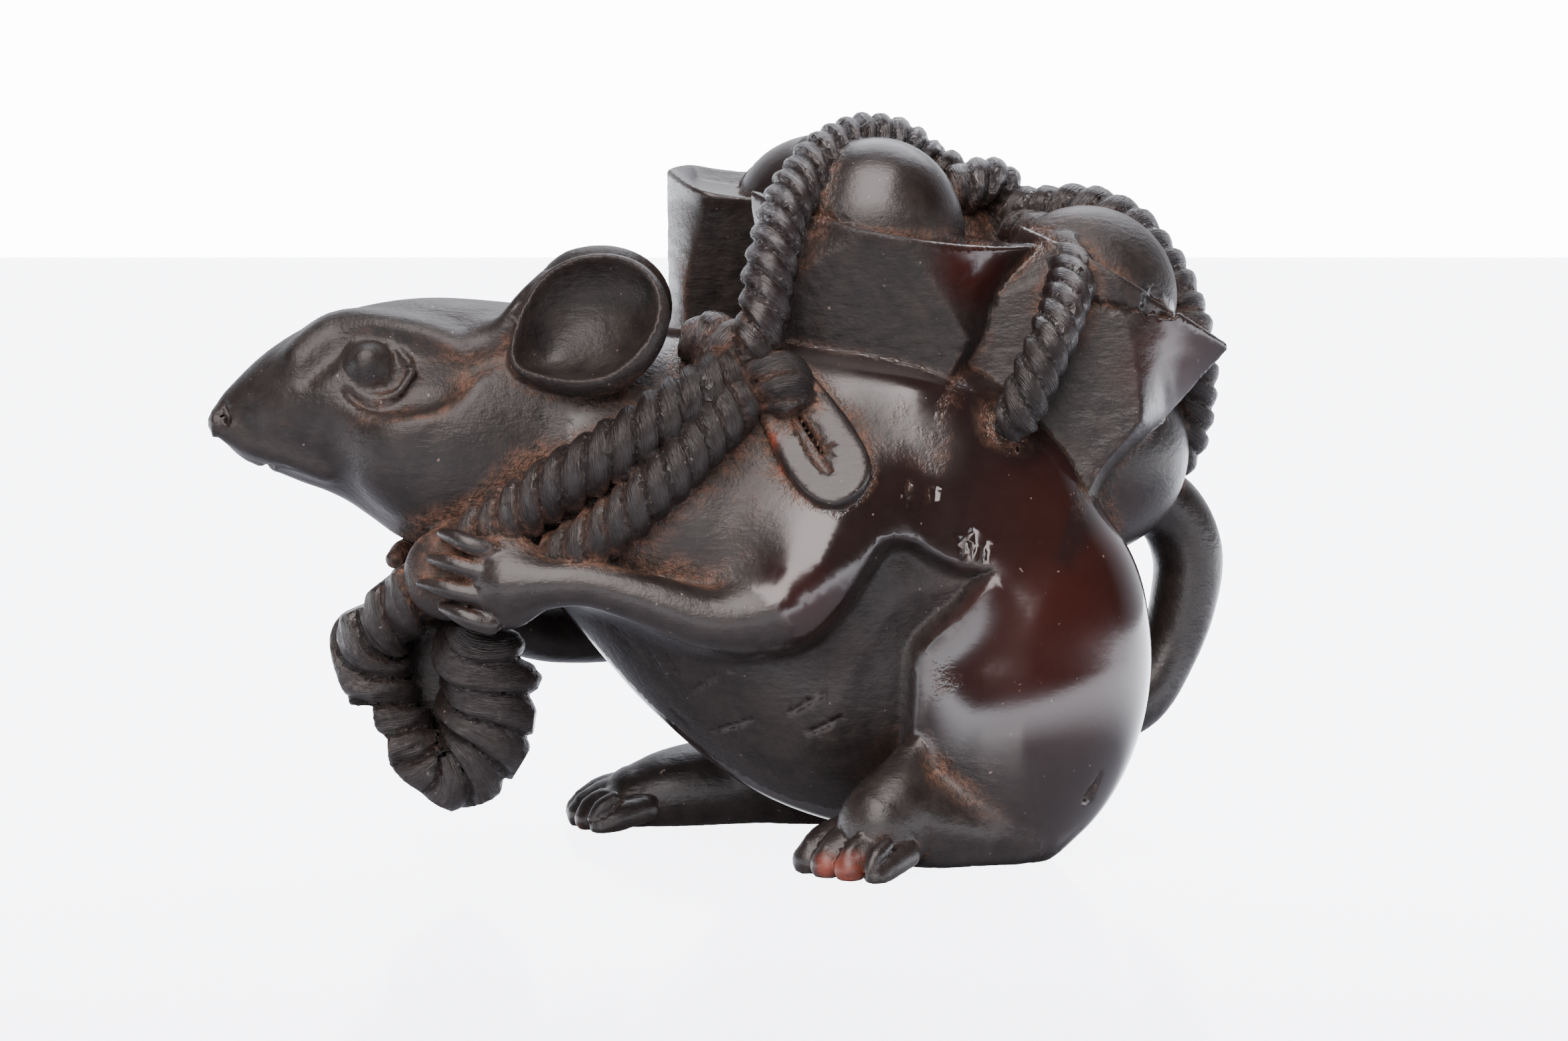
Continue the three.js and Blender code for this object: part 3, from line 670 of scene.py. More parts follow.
def laid_rope_tree():
    """Winds a laid rope along a line: the line's own `thick` scales it, strands turn right-handed."""
    tree = bpy.data.node_groups.new("laid rope", "GeometryNodeTree")
    for name, kind in ROPE_INPUTS.items():
        socket = tree.interface.new_socket(name, in_out="INPUT", socket_type="NodeSocket" + kind)
        if name in ROPE_DEFAULTS:
            socket.default_value = ROPE_DEFAULTS[name]
    tree.interface.new_socket("Rope", in_out="OUTPUT", socket_type="NodeSocketGeometry")

    add = functools.partial(put, tree)
    given = tree.nodes.new("NodeGroupInput").outputs
    position = add("GeometryNodeInputPosition")

    # the line, with each place's distance along it and its middle kept for later
    curve = add("GeometryNodeMeshToCurve", [given["Line"]])
    curve = add("GeometryNodeResampleCurve", {"Curve": curve, "Length": given["Step"]}, mode="LENGTH")
    walked = add("GeometryNodeSplineParameter", out="Length")
    curve = add(STORE, {"Geometry": curve, "Name": "along", "Value": walked}, data_type="FLOAT")
    curve = add(STORE, {"Geometry": curve, "Name": "middle", "Value": position}, data_type="FLOAT_VECTOR")
    ring = add("GeometryNodeCurvePrimitiveCircle", {"Resolution": given["Sides"]})
    turned = add("GeometryNodeSplineParameter", out="Factor")
    ring = add(STORE, {"Geometry": ring, "Name": "turn", "Value": turned}, data_type="FLOAT")
    tube = add("GeometryNodeCurveToMesh", {"Curve": curve, "Profile Curve": ring, "Fill Caps": True})

    along, turn, thick = (add(READ, {"Name": n}, data_type="FLOAT") for n in ("along", "turn", "thick"))
    middle = add(READ, {"Name": "middle"}, data_type="FLOAT_VECTOR")

    # where a point stands across its strand: -1 and 1 in the grooves
    laps = add(MATH, [along, given["Lay"]], operation="DIVIDE")
    turns = add(MATH, [turn, laps], operation="ADD")
    phase = add(MATH, [turns, given["Strands"]], operation="MULTIPLY")
    share = add(MATH, [phase], operation="FRACT")
    across = add(MATH, [share, 2.0, -1.0], operation="MULTIPLY_ADD")

    # each strand was cut steeper on one side, so its ridge stands off its middle
    squared = add(MATH, [across, across], operation="MULTIPLY")
    inner = add(MATH, [1.0, squared], operation="SUBTRACT")
    ridge = add(MATH, [inner, 0.35, across], operation="MULTIPLY_ADD")
    ridge_squared = add(MATH, [ridge, ridge], operation="MULTIPLY")
    arch = add(MATH, [ridge_squared, -0.97, 1.0], operation="MULTIPLY_ADD")
    swell = add(MATH, [arch], operation="SQRT")
    fall = add(MATH, [1.0, swell], operation="SUBTRACT")
    fall = add(MATH, [given["Groove"], fall], operation="MULTIPLY")
    shape = add(MATH, [1.0, fall], operation="SUBTRACT")

    # the knife leaves each strand a little different, and scores fibres along it
    strand = add(MATH, [phase], operation="FLOOR")
    strand = add(MATH, [strand, 3.7], operation="MULTIPLY")
    sway = add(NOISE, {"Vector": middle, "W": strand, "Scale": 0.6, "Detail": 2.0}, noise_dimensions="4D")
    sway = add(MATH, [sway, 0.5], operation="SUBTRACT")
    sway = add(MATH, [sway, given["Unevenness"]], operation="MULTIPLY")
    over = add(MATH, [phase, 5.0], operation="MULTIPLY")
    down = add(MATH, [along, 0.7], operation="MULTIPLY")
    score = add("ShaderNodeCombineXYZ", [over, down])
    score = add(NOISE, {"Vector": score, "Scale": 1.0, "Detail": 1.0})
    score = add(MATH, [score, 0.5], operation="SUBTRACT")
    score = add(MATH, [score, given["Fibres"]], operation="MULTIPLY")

    shape = add(MATH, [shape, sway], operation="ADD")
    shape = add(MATH, [shape, score], operation="ADD")
    thick = add(MATH, [thick, given["Radius"]], operation="MULTIPLY")
    reach = add(MATH, [thick, shape], operation="MULTIPLY")
    outward = add(VECTOR_MATH, [position, middle], operation="SUBTRACT")
    outward = add(VECTOR_MATH, {0: outward, "Scale": reach}, operation="SCALE")
    place = add(VECTOR_MATH, [middle, outward], operation="ADD")
    rope = add("GeometryNodeSetPosition", {"Geometry": tube, "Position": place})
    rope = add(STORE, {"Geometry": rope, "Name": "across", "Value": across}, data_type="FLOAT")
    rope = add("GeometryNodeRealizeInstances", [rope])
    rope = add("GeometryNodeSetMaterial", {"Geometry": rope, "Material": given["Wood"]})
    add("NodeGroupOutput", [rope])
    return tree


ROPE_TREE = laid_rope_tree()


def wind_rope(name, way, **sizes):
    """The rope's mesh along a sampled line of x, y, z, thickness, made by the tree."""
    line = bpy.data.meshes.new(name)
    line.from_pydata(way[:, :3].tolist(), [(i, i + 1) for i in range(len(way) - 1)], [])
    thick = line.attributes.new("thick", "FLOAT", "POINT")
    thick.data.foreach_set("value", way[:, 3].astype(np.float32))
    piece = link(name, line)
    modifier = piece.modifiers.new("laid rope", "NODES")
    modifier.node_group = ROPE_TREE
    for socket in ROPE_TREE.interface.items_tree:
        if socket.in_out == "INPUT" and socket.name in sizes:
            modifier[socket.identifier] = sizes[socket.name]
    return final_mesh(piece)


def final_mesh(piece):
    """The object's mesh with its modifiers worked out. The object itself goes."""
    bpy.context.view_layer.update()
    mesh = bpy.data.meshes.new_from_object(piece.evaluated_get(bpy.context.evaluated_depsgraph_get()))
    bpy.data.objects.remove(piece)
    return mesh


def corners_of(mesh):
    points = np.empty(len(mesh.vertices) * 3, np.float32)
    mesh.vertices.foreach_get("co", points)
    return points.reshape(-1, 3).astype(float)


def attribute(mesh, name):
    values = np.empty(len(mesh.vertices), np.float32)
    mesh.attributes[name].data.foreach_get("value", values)
    return values


# Rope runs

LAID = 0.75
ROPE_RUNS = {
    "front": dict(radius=1.28, at=[
        (1.4, 23.6), (2.2, -10.2, 26.1), (2.5, -9.6, 28.3), (3, -8.2, 30.5), (3.9, -6.4, 32.2),
        (5.1, -4.4, 33.6), (6.7, -2.2, 34.4), (8.4, -0.4, 34.3), (10.2, 0.8, 33.2), (12.2, 1, 32)]),
    "rear": dict(radius=1.25, at=[
        (12.6, 1, 31.2), (15.2, 0.6, 31), (17.6, 0.2, 31.1), (19.6, 0, 30.4), (21.2, 0, 28.6),
        (22.4, 0.4, 26.4), (23, 0.6, 24), (23, 1.2, 21.4), (22.2, 1.8, 19), (20.2, 2.4, 17.2)]),
    "between": dict(radius=1.2, at=[
        (13.4, 1.4, 29.8), (15.0, -0.6, 29.9), (16.2, -2.6, 29.5), (16.7, -4.8, 28.5), (16.4, -7.0, 27.0),
        (15.7, -8.6, 25.3), (14.9, -9.2, 23.6), (14.2, -9.2, 22.0), (13.6, -8.6, 20.6)]),
    "far_between": dict(radius=1.2, side=1, lay=4.6, at=[
        (12, 1.6, 31.6), (10.8, 5, 30.4), (10, 8, 28.4), (9.6, 9.8, 25.4), (9, 22)]),
    "far_front": dict(radius=1.3, side=1, lay=4.6, at=[
        (6, 1.2, 34), (2.8, 5.4, 32.6), (0.8, 8, 30), (-0.6, 8, 27), (-1.4, 23.4)]),
    "upper": dict(radius=1.5, at=[
        (1.2, 24), (-1.6, 22), (-5.2, 19.7), (-8.2, 17.8), (-11, -10.6, 15.8), (-13, -9.4, 13.8)]),
    "lower": dict(radius=1.35, at=[
        (1.6, 23), (-0.3, 20.8), (-2.6, 18.5), (-5, 16.4), (-8, -11, 14.6)]),
    "far_strand": dict(radius=1.5, side=1, lay=4.6, at=[
        (-1, 24), (-3, 21), (-5.6, 18), (-8, 16.2), (-11.4, -3.4, 14.6), (-13.6, -6.4, 13.6)]),
    "loop": dict(radius=2.0, uneven=0.6, fibres=0.22, lay=4.2,
                 thick=[0.85, 0.95, 1.0, 1.05, 0.95, 1.0, 1.1, 1.2, 1.1, 0.95], at=[
        (-12.9, -9.4, 14.2), (-15, -8.5, 12.6), (-16.3, -7.5, 10.7), (-15.9, -6.8, 8.1),
        (-14.9, -6.6, 6.1), (-12.9, -6.6, 4.4), (-11.3, -7, 5.4), (-10.6, -7.8, 7.8),
        (-11.1, -8.8, 10.4), (-11.6, -9.6, 12.2)]),
    "knot": dict(radius=1.6, at=[(-1.6, 25), (0.6, 24.6), (2.6, 23.4), (3.8, 21.8)]),
    "crossing": dict(radius=1.3, at=[
        (10.8, -1.4, 31.4), (12.2, -0.4, 32.3), (13.4, 1, 32.3), (13.8, 2.6, 31.4)]),
}
LAY = 3.5
LAY_RADIUS = 1.4  # the rope that has the whole lay; thinner ones are laid shorter
GROOVE = 0.34

BOW = [(2.5, 22.6), (3.2, 20.8), (4.3, 19.1), (5.4, 18.4), (6.1, 19.0), (5.6, 20.5), (4.0, 22.7)]
BOW_THICK = [0.8, 0.85, 0.95, 1.05, 1.05, 0.95, 0.85]
BOW_FACE = 0.42  # the flat face lies this far outside the bow's middle

# the slit in the bow by X, Z, radius, and splinters torn out beside it
SLIT = [(3.3, 22.2, 0.12), (3.9, 21.0, 0.26), (4.5, 20.0, 0.34), (5.1, 19.2, 0.3)]
TORN = [[(3.9, 21.3), (4.4, 21.2), (5.0, 20.8)], [(4.4, 20.5), (4.9, 20.5), (5.5, 20.2)],
        [(4.8, 19.9), (5.2, 19.9), (5.6, 19.6)], [(3.6, 21.9), (4.1, 21.9), (4.6, 21.7)]]


def settle(points, side, lift):
    return [p if len(p) == 3 else on_body(p[0], p[1], lift, side) for p in points]


class Rope:
    """One run of rope, ready to give distances and the place across and along its strands."""

    def __init__(self, name, wood, at, radius, side=-1, lay=LAY, thick=None, uneven=0.24, fibres=0.07):
        self.name = name
        points = settle(at, side, LAID)
        thick = thick or [1.0] * len(points)
        self.way = smooth_way([(*p, t) for p, t in zip(points, thick)])
        ends = np.minimum(np.arange(len(self.way)), np.arange(len(self.way))[::-1])
        self.way[:, 3] *= np.clip(0.55 + ends * 0.15, 0, 1)
        self.radius = radius
        lay = lay * math.sqrt(radius / LAY_RADIUS)
        mesh = wind_rope(name, self.way, Radius=radius, Lay=lay, Groove=GROOVE, Unevenness=uneven,
                         Fibres=fibres, Wood=wood)
        self.points = corners_of(mesh)
        self.across = attribute(mesh, "across")
        self.along = attribute(mesh, "along")
        self.faces = [tuple(face.vertices) for face in mesh.polygons]
        self.tree = BVHTree.FromPolygons(self.points.tolist(), self.faces)
        bpy.data.meshes.remove(mesh)
        self.low = self.points.min(0) - 0.1
        self.high = self.points.max(0) + 0.1

    def distance(self, p, near=0.9):
        rough, place = from_way(p, self.way)
        thick = np.interp(place, np.arange(len(self.way)), self.way[:, 3]) * self.radius
        d = rough - thick
        find = self.tree.find_nearest
        for i in np.flatnonzero((d < near) & (d > -near - 0.2)):
            spot, normal, _, gap = find(p[i])
            if spot is not None:
                out = p[i, 0] - spot[0], p[i, 1] - spot[1], p[i, 2] - spot[2]
                sign = 1 if out[0] * normal[0] + out[1] * normal[1] + out[2] * normal[2] >= 0 else -1
                d[i] = sign * gap
        return d

    def strand(self, p):
        """Distance, and the nearest corner's place across and along the strand."""
        gaps = np.full(len(p), FAR)
        across, along = np.zeros(len(p)), np.zeros(len(p))
        for i, at in enumerate(p):
            spot, _, face, gap = self.tree.find_nearest(at, 1.5)
            if spot is None:
                continue
            corners = self.faces[face]
            weights = [1 / (np.sum((self.points[c] - at) ** 2) + 1e-4) for c in corners[:4]]
            total = sum(weights)
            gaps[i] = gap
            across[i] = sum(self.across[c] * w for c, w in zip(corners, weights)) / total
            along[i] = sum(self.along[c] * w for c, w in zip(corners, weights)) / total
        return gaps, across, along


# The whole field


# The hanging loop was cut to this outline of [x, z], its knife steps left as they were
LOOP_OUTLINE = [
    (-8.4, 8.1), (-8.75, 5.8), (-10.1, 3.55), (-12.3, 2.65), (-13.2, 3.15), (-14.85, 4.45), (-15.4, 5.0),
    (-15.4, 6.3), (-16.0, 6.7), (-16.1, 7.85), (-17.2, 7.9), (-17.95, 9.65), (-18.25, 11.2), (-17.95, 12.0),
    (-16.4, 12.65), (-16.35, 13.2), (-14.3, 14.8),
]
LOOP_WEB = ball((-13.2, -4.9, 9.2), (2.2, 1.2, 4.4))


def loop_trim(p):
    """Distance outside the loop's outline, as seen from the near side."""
    line = np.array([(x, 0.0, z) for x, z in LOOP_OUTLINE])
    gap, _ = from_way(np.stack([p[:, 0], np.zeros(len(p)), p[:, 2]], 1), line)
    closed = LOOP_OUTLINE + [(-12.0, 18.0), (-7.0, 18.0), (-7.0, 10.0)]
    return np.where(inside_outline(p[:, 0], p[:, 2], closed), -gap, gap)


# By X and Z of both ends, and the strokes by X, Z and how tall they are
BELLY_NICKS = [
    ((-3.4, 10.6), (-2.6, 9.2)), ((-2.4, 10.2), (-1.8, 9.3)), ((-1.2, 8.4), (0.0, 9.4)),
    ((0.6, 9.6), (2.0, 10.4)), ((-0.4, 6.4), (1.6, 7.2)), ((3.4, 7.6), (5.0, 8.6)),
    ((4.2, 6.6), (5.8, 7.4)), ((-2.2, 7.4), (-1.4, 6.6)),
]
STROKES = [
    (8.9, 17.3, 1.3), (9.8, 17.1, 1.2), (10.1, 17.4, 0.8),
    (11.4, 14.7, 1.2), (11.8, 14.7, 1.5), (12.3, 14.6, 1.0),
]
RUMP_CHIP = [(17.4, 3.6), (18.0, 4.8)]


class Carving:
    """All that is carved from the block, as one field of distances."""

    def __init__(self, wood):
        self.ropes = [Rope(name, wood, **run) for name, run in ROPE_RUNS.items()]
        self.over = [self.bow()] + self.fingers()
        self.cuts = self.nicks()

    def bow(self):
        """The knot's one bow: a bent strand whose face was rubbed flat, with a ragged slit inside it."""
        spots = np.array(settle(BOW, -1, 0.3))
        bent = limb([(*p, r) for p, r in zip(spots, BOW_THICK)], 0.1)
        middle = spots.mean(0)
        outward = unit((-0.08, -0.86, 0.5))

        def on_face(x, z):
            rest = BOW_FACE - (x - middle[0]) * outward[0] - (z - middle[2]) * outward[2]
            return x, middle[1] + rest / outward[1], z

        slit = [(*on_face(x, z), r) for x, z, r in SLIT]
        torn = [[(*on_face(x, z), r) for (x, z), r in zip(ends, (0.26, 0.18, 0.05))] for ends in TORN]
        splinters = [limb(stations, 0.03) for stations in [slit, *torn]]

        def distance(p):
            d = soft_cut(bent["distance"](p), BOW_FACE - (p - middle) @ outward, 0.25)
            for splinter in splinters:
                d = soft_cut(d, splinter["distance"](p), 0.03)
            return d

        return dict(bent, distance=distance)

    def fingers(self):
        made = []
        for n in range(4):
            up = 15.85 - n * 1.15
            longer = n % 3
            made.append(limb([
                (-10.3, -12.6, up - 0.3, 0.5), (-11.2, -12.75, up - 0.05, 0.46),
                (-11.9 - 0.35 * longer, -12.5, up + 0.25, 0.4), (-12.5 - 0.5 * longer, -12.0, up + 0.4, 0.26),
            ], 0.16))
            up = 14.7 - n * 1.15
            made.append(limb([
                (-12.7, -5.0, up, 0.65), (-14.6, -5.9, up + 0.3, 0.6), (-15.1, -7.4, up, 0.45),
            ], 0.12))
        return made

    def nicks(self):
        """Shallow knife nicks on the belly, strokes scratched across the back, and a chip at the rump."""
        made = []
        for ends in BELLY_NICKS:
            stations = [(*on_body(x, z, 0.06, -1), 0.17) for x, z in ends]
            made.append(limb([stations[0], tuple(np.mean(stations, axis=0)), stations[1]], 0.08))
        for x, z, tall in STROKES:
            made.append(limb([(*on_body(x, z, 0.06, -1), 0.12),
                              (*on_body(x + 0.06, z + tall, 0.06, -1), 0.17)], 0.1))
        chip = [on_body(x, z, 0.05, -1) for x, z in RUMP_CHIP]
        made.append(limb([(*chip[0], 0.35), (*chip[1], 0.12)], 0.05))
        return made

    def field(self, p):
        d = body_field(p)
        for mass in MASSES + CORES + INGOTS:
            join(d, p, mass)
        for rope in self.ropes:
            near = np.flatnonzero(within(p, rope.low, rope.high, 0.8))
            near = near[d[near] > -1.2]
            if len(near):
                run = rope.distance(p[near])
                if rope.name == "loop":
                    run = np.maximum(np.minimum(run, LOOP_WEB["distance"](p[near])), loop_trim(p[near]))
                d[near] = soft_min(d[near], run, 0.06)
        for hollowed in (NEAR_EAR, FAR_EAR):
            carve_out(d, p, dict(hollowed, distance=hollowed["hollow"], blend=0.35))
        for mass in self.over:
            join(d, p, mass, margin=0.8)
        for nick in self.cuts:
            carve_out(d, p, nick)
        return np.maximum(d, GROUND_CUT - p[:, 2])


# From field to skin

LOW = np.array([-25.2, -16.0, -0.2])
HIGH = np.array([26.2, 14.0, 37.2])


def fill_grid(field, cell):
    """The field on a grid, worked out finely only close to the skin."""
    levels = 4
    coarse = cell * 2 ** (levels - 1)
    counts = np.ceil((HIGH - LOW) / coarse).astype(int)
    values = None
    for level in range(levels):
        step = coarse / 2**level
        shape = counts * 2**level + 1
        if values is None:
            values = np.full(shape, np.nan)
            wanted = np.ones(shape, bool)
        else:
            for axis in range(3):
                first = np.take(values, range(values.shape[axis] - 1), axis)
                second = np.take(values, range(1, values.shape[axis]), axis)
                wide = np.empty([n if a != axis else 2 * n - 1 for a, n in enumerate(values.shape)])
                odd = [slice(None)] * 3
                even = [slice(None)] * 3
                odd[axis], even[axis] = slice(1, None, 2), slice(0, None, 2)
                wide[tuple(even)] = values
                wide[tuple(odd)] = (first + second) / 2
                values = wide
            wanted = np.abs(values) < step * 2.6
        spots = np.argwhere(wanted)
        values[wanted] = field(LOW + spots * step)
    return values


def surface_net(values, cell):
    """Corners and four-sided faces of the skin where the values pass zero."""
    inside = values < 0
    cells = np.array(values.shape) - 1
    total = int(np.prod(cells))
    sums = np.zeros((3, total))
    counts = np.zeros(total)
    rings = []
    for axis in range(3):
        a, b = [slice(None)] * 3, [slice(None)] * 3
        a[axis], b[axis] = slice(None, -1), slice(1, None)
        crossing = inside[tuple(a)] != inside[tuple(b)]
        spots = np.argwhere(crossing)
        va = values[tuple(a)][crossing]
        vb = values[tuple(b)][crossing]
        at = spots.astype(float)
        at[:, axis] += va / (va - vb)
        other = [n for n in range(3) if n != axis]
        around = []
        valid = np.ones(len(spots), bool)
        for du, dv in ((0, 0), (-1, 0), (-1, -1), (0, -1)):
            cell_at = spots.copy()
            cell_at[:, other[0]] += du
            cell_at[:, other[1]] += dv
            fits = np.all((cell_at >= 0) & (cell_at < cells), axis=1)
            valid &= fits
            flat = np.ravel_multi_index(np.clip(cell_at, 0, cells - 1).T, cells)
            around.append(flat)
            for n in range(3):
                sums[n] += np.bincount(flat[fits], at[fits, n], total)
            counts += np.bincount(flat[fits], minlength=total)
        ring = np.stack(around, 1)[valid]
        flip = (va < 0)[valid] ^ (axis == 1)
        ring[~flip] = ring[~flip][:, ::-1]
        rings.append(ring)
    used = np.flatnonzero(counts)
    number = np.full(total, -1)
    number[used] = np.arange(len(used))
    points = (sums[:, used] / counts[used]).T * cell + LOW
    return points, number[np.concatenate(rings)]


def largest_skin(points, faces):
    """Only the faces of the skin with the most corners: no shut hollows and no crumbs."""
    label = np.arange(len(points))
    edges = np.concatenate([faces[:, [0, 1]], faces[:, [1, 2]], faces[:, [2, 3]], faces[:, [3, 0]]])
    while True:
        lowest = np.minimum(label[edges[:, 0]], label[edges[:, 1]])
        new = label.copy()
        np.minimum.at(new, edges[:, 0], lowest)
        np.minimum.at(new, edges[:, 1], lowest)
        new = new[new]
        if np.array_equal(new, label):
            break
        label = new
    keep = label == np.bincount(label).argmax()
    number = np.cumsum(keep) - 1
    return points[keep], number[faces[keep[faces[:, 0]]]]


def slope(field, p, reach=0.06):
    """The field's direction of steepest rise, and its value, at each point."""
    rise = np.empty_like(p)
    for axis in range(3):
        step = np.zeros(3)
        step[axis] = reach
        rise[:, axis] = field(p + step) - field(p - step)
    length = np.linalg.norm(rise, axis=1)
    return rise / np.maximum(length, 1e-9)[:, None], length / (2 * reach)


def settle_on_skin(field, p, farthest=0.12):
    """The points moved along the field's slope to where it is zero."""
    direction, rate = slope(field, p)
    move = field(p) / np.maximum(rate, 0.5)
    return p - direction * np.clip(move, -farthest, farthest)[:, None]


def thinned(mesh, most):
    """The mesh with its flattest places drawn with fewer triangles."""
    mesh.calc_loop_triangles()
    triangles = len(mesh.loop_triangles)
    piece = link("thinned", mesh)
    if triangles > most:
        modifier = piece.modifiers.new("fewer", "DECIMATE")
        modifier.ratio = most / triangles
        modifier.use_collapse_triangulate = True
    return final_mesh(piece)


# Wood


def linear(hex_colour):
    """An sRGB hex colour as linear values, with full alpha."""
    parts = [int(hex_colour[i : i + 2], 16) / 255 for i in (1, 3, 5)]
    return tuple(c / 12.92 if c <= 0.04045 else ((c + 0.055) / 1.055) ** 2.4 for c in parts) + (1.0,)


def stained_wood():
    """Dense fine-grained wood, stained near black and hand polished: smooth places mirror the room and show
    red under the polish, knife-cut places stay dull, and brown dust lies in the recesses."""
    wood = bpy.data.materials.new("stained polished wood")
    wood.use_nodes = True
    tree = wood.node_tree
    tree.nodes.clear()
    add = functools.partial(put, tree)

    place = add("ShaderNodeTexCoord", out="Object")
    dust, wear, rope, bare, polish, red = (
        add("ShaderNodeAttribute", out="Fac", attribute_name=name)
        for name in ("dust", "wear", "rope", "bare", "polish", "red")
    )

    # patches of about 5 mm, blotches of about 1 mm, specks of about 0.2 mm
    cloud = add(NOISE, {"Vector": place, "Scale": 220.0, "Detail": 4.0, "Roughness": 0.5})
    blotch = add(NOISE, {"Vector": place, "Scale": 900.0, "Detail": 4.0, "Roughness": 0.6})
    grit = add(NOISE, {"Vector": place, "Scale": 4800.0, "Detail": 2.0, "Roughness": 0.6})
    dull = add(MATH, [1.0, polish], operation="SUBTRACT", use_clamp=True)

    # near black, warmer under the polish, red where the stain is thin, browner on worn edges
    share = add(RANGE, [blotch, 0.35, 0.65, 0.0, 1.0])
    colour = add(MIX, {0: share, 6: linear("#151211"), 7: linear("#231e1c")}, **BLEND)
    share = add(MATH, [polish, 0.75], operation="MULTIPLY")
    colour = add(MIX, {0: share, 6: colour, 7: linear("#190f0e")}, **BLEND)
    share = add(RANGE, [cloud, 0.3, 0.7, 0.6, 1.0])
    share = add(MATH, [red, share], operation="MULTIPLY")
    colour = add(MIX, {0: share, 6: colour, 7: linear("#2e110d")}, **BLEND)
    share = add(MATH, [wear, 0.2], operation="MULTIPLY", use_clamp=True)
    colour = add(MIX, {0: share, 6: colour, 7: linear("#3c302c")}, **BLEND)

    # dust lies in broken specks, thickest in the recesses
    thin = add(RANGE, [blotch, 0.3, 0.7, 0.0, 1.0])
    load = add(MATH, [thin, -0.32, dust], operation="MULTIPLY_ADD", use_clamp=True)
    broken = add(RANGE, [grit, 0.36, 0.62, 0.45, 1.15])
    load = add(MATH, [load, broken], operation="MULTIPLY", use_clamp=True)
    tint = add(NOISE, {"Vector": place, "Scale": 1600.0, "Detail": 3.0, "Roughness": 0.5})
    tint = add(RANGE, [tint, 0.38, 0.62, 0.0, 1.0])
    tint = add(MIX, {0: tint, 6: linear("#35281f"), 7: linear("#5e4234")}, **BLEND)
    colour = add(MIX, {0: load, 6: colour, 7: tint}, **BLEND)

    # pale specks, few and small, and bare wood where the stain has gone
    speck = add(NOISE, {"Vector": place, "Scale": 3300.0, "Detail": 1.0, "Roughness": 0.5})
    speck = add(RANGE, [speck, 0.765, 0.80, 0.0, 1.0])
    speck = add(MATH, [speck, 0.35], operation="MULTIPLY")
    colour = add(MIX, {0: speck, 6: colour, 7: linear("#8d7d74")}, **BLEND)
    share = add(RANGE, [blotch, 0.3, 0.5, 0.0, 1.0])
    share = add(MATH, [bare, share], operation="MULTIPLY", use_clamp=True)
    colour = add(MIX, {0: share, 6: colour, 7: linear("#6b3021")}, **BLEND)

    # polish is smooth, knife-cut wood and dust are rough
    smooth = add(RANGE, [cloud, 0.3, 0.7, 0.11, 0.17])
    cut = add(RANGE, [blotch, 0.3, 0.7, 0.30, 0.40])
    rough = add(MATH, [dull, cut, smooth], operation="MULTIPLY_ADD")
    rough = add(MATH, [load, 0.35, rough], operation="MULTIPLY_ADD", use_clamp=True)
    specular = add(RANGE, [polish, 0.1, 0.8, 0.24, 0.5])

    # fibres run along each strand of the rope; the dull wood has pores and fine knife marks
    strand = add("ShaderNodeAttribute", out="Vector", attribute_name="strand")
    strand = add(VECTOR_MATH, [strand, (7.0, 0.8, 1.0)], operation="MULTIPLY")
    fibre = add(NOISE, {"Vector": strand, "Scale": 1.0, "Detail": 3.0, "Roughness": 0.65})
    fibre = add(MATH, [fibre, rope], operation="MULTIPLY")
    grain = add(VECTOR_MATH, [place, (900.0, 3400.0, 3400.0)], operation="MULTIPLY")
    grain = add(NOISE, {"Vector": grain, "Scale": 1.0, "Detail": 3.0, "Roughness": 0.65})
    grain = add(MATH, [grain, 0.55], operation="MULTIPLY")
    pores = add(NOISE, {"Vector": place, "Scale": 2300.0, "Detail": 3.0, "Roughness": 0.7})
    relief = add(MATH, [pores, 0.6, grain], operation="MULTIPLY_ADD")
    depth = add(MATH, [dull, dull, 0.035], operation="MULTIPLY_ADD")
    relief = add(MATH, [relief, depth], operation="MULTIPLY")
    relief = add(MATH, [fibre, 1.2, relief], operation="MULTIPLY_ADD")
    crumbs = add(MATH, [grit, 0.9], operation="MULTIPLY")
    relief = add(MATH, [load, crumbs, relief], operation="MULTIPLY_ADD")
    bump = add("ShaderNodeBump", {"Height": relief, "Strength": 0.8, "Distance": 0.00011})

    shader = add("ShaderNodeBsdfPrincipled", {
        "Base Color": colour, "Roughness": rough, "Normal": bump, "IOR": 1.52,
        "Specular IOR Level": specular,
    })
    add("ShaderNodeOutputMaterial", [shader])
    return wood


# Painting the wear on the carving


def spots(p, places):
    """How strongly each point lies in one of the spots of x, y, z, radius."""
    strength = np.zeros(len(p))
    for x, y, z, radius in places:
        gap = np.linalg.norm(p - (x, y, z), axis=1)
        strength = np.maximum(strength, np.clip(1.4 - gap / radius, 0, 1))
    return strength


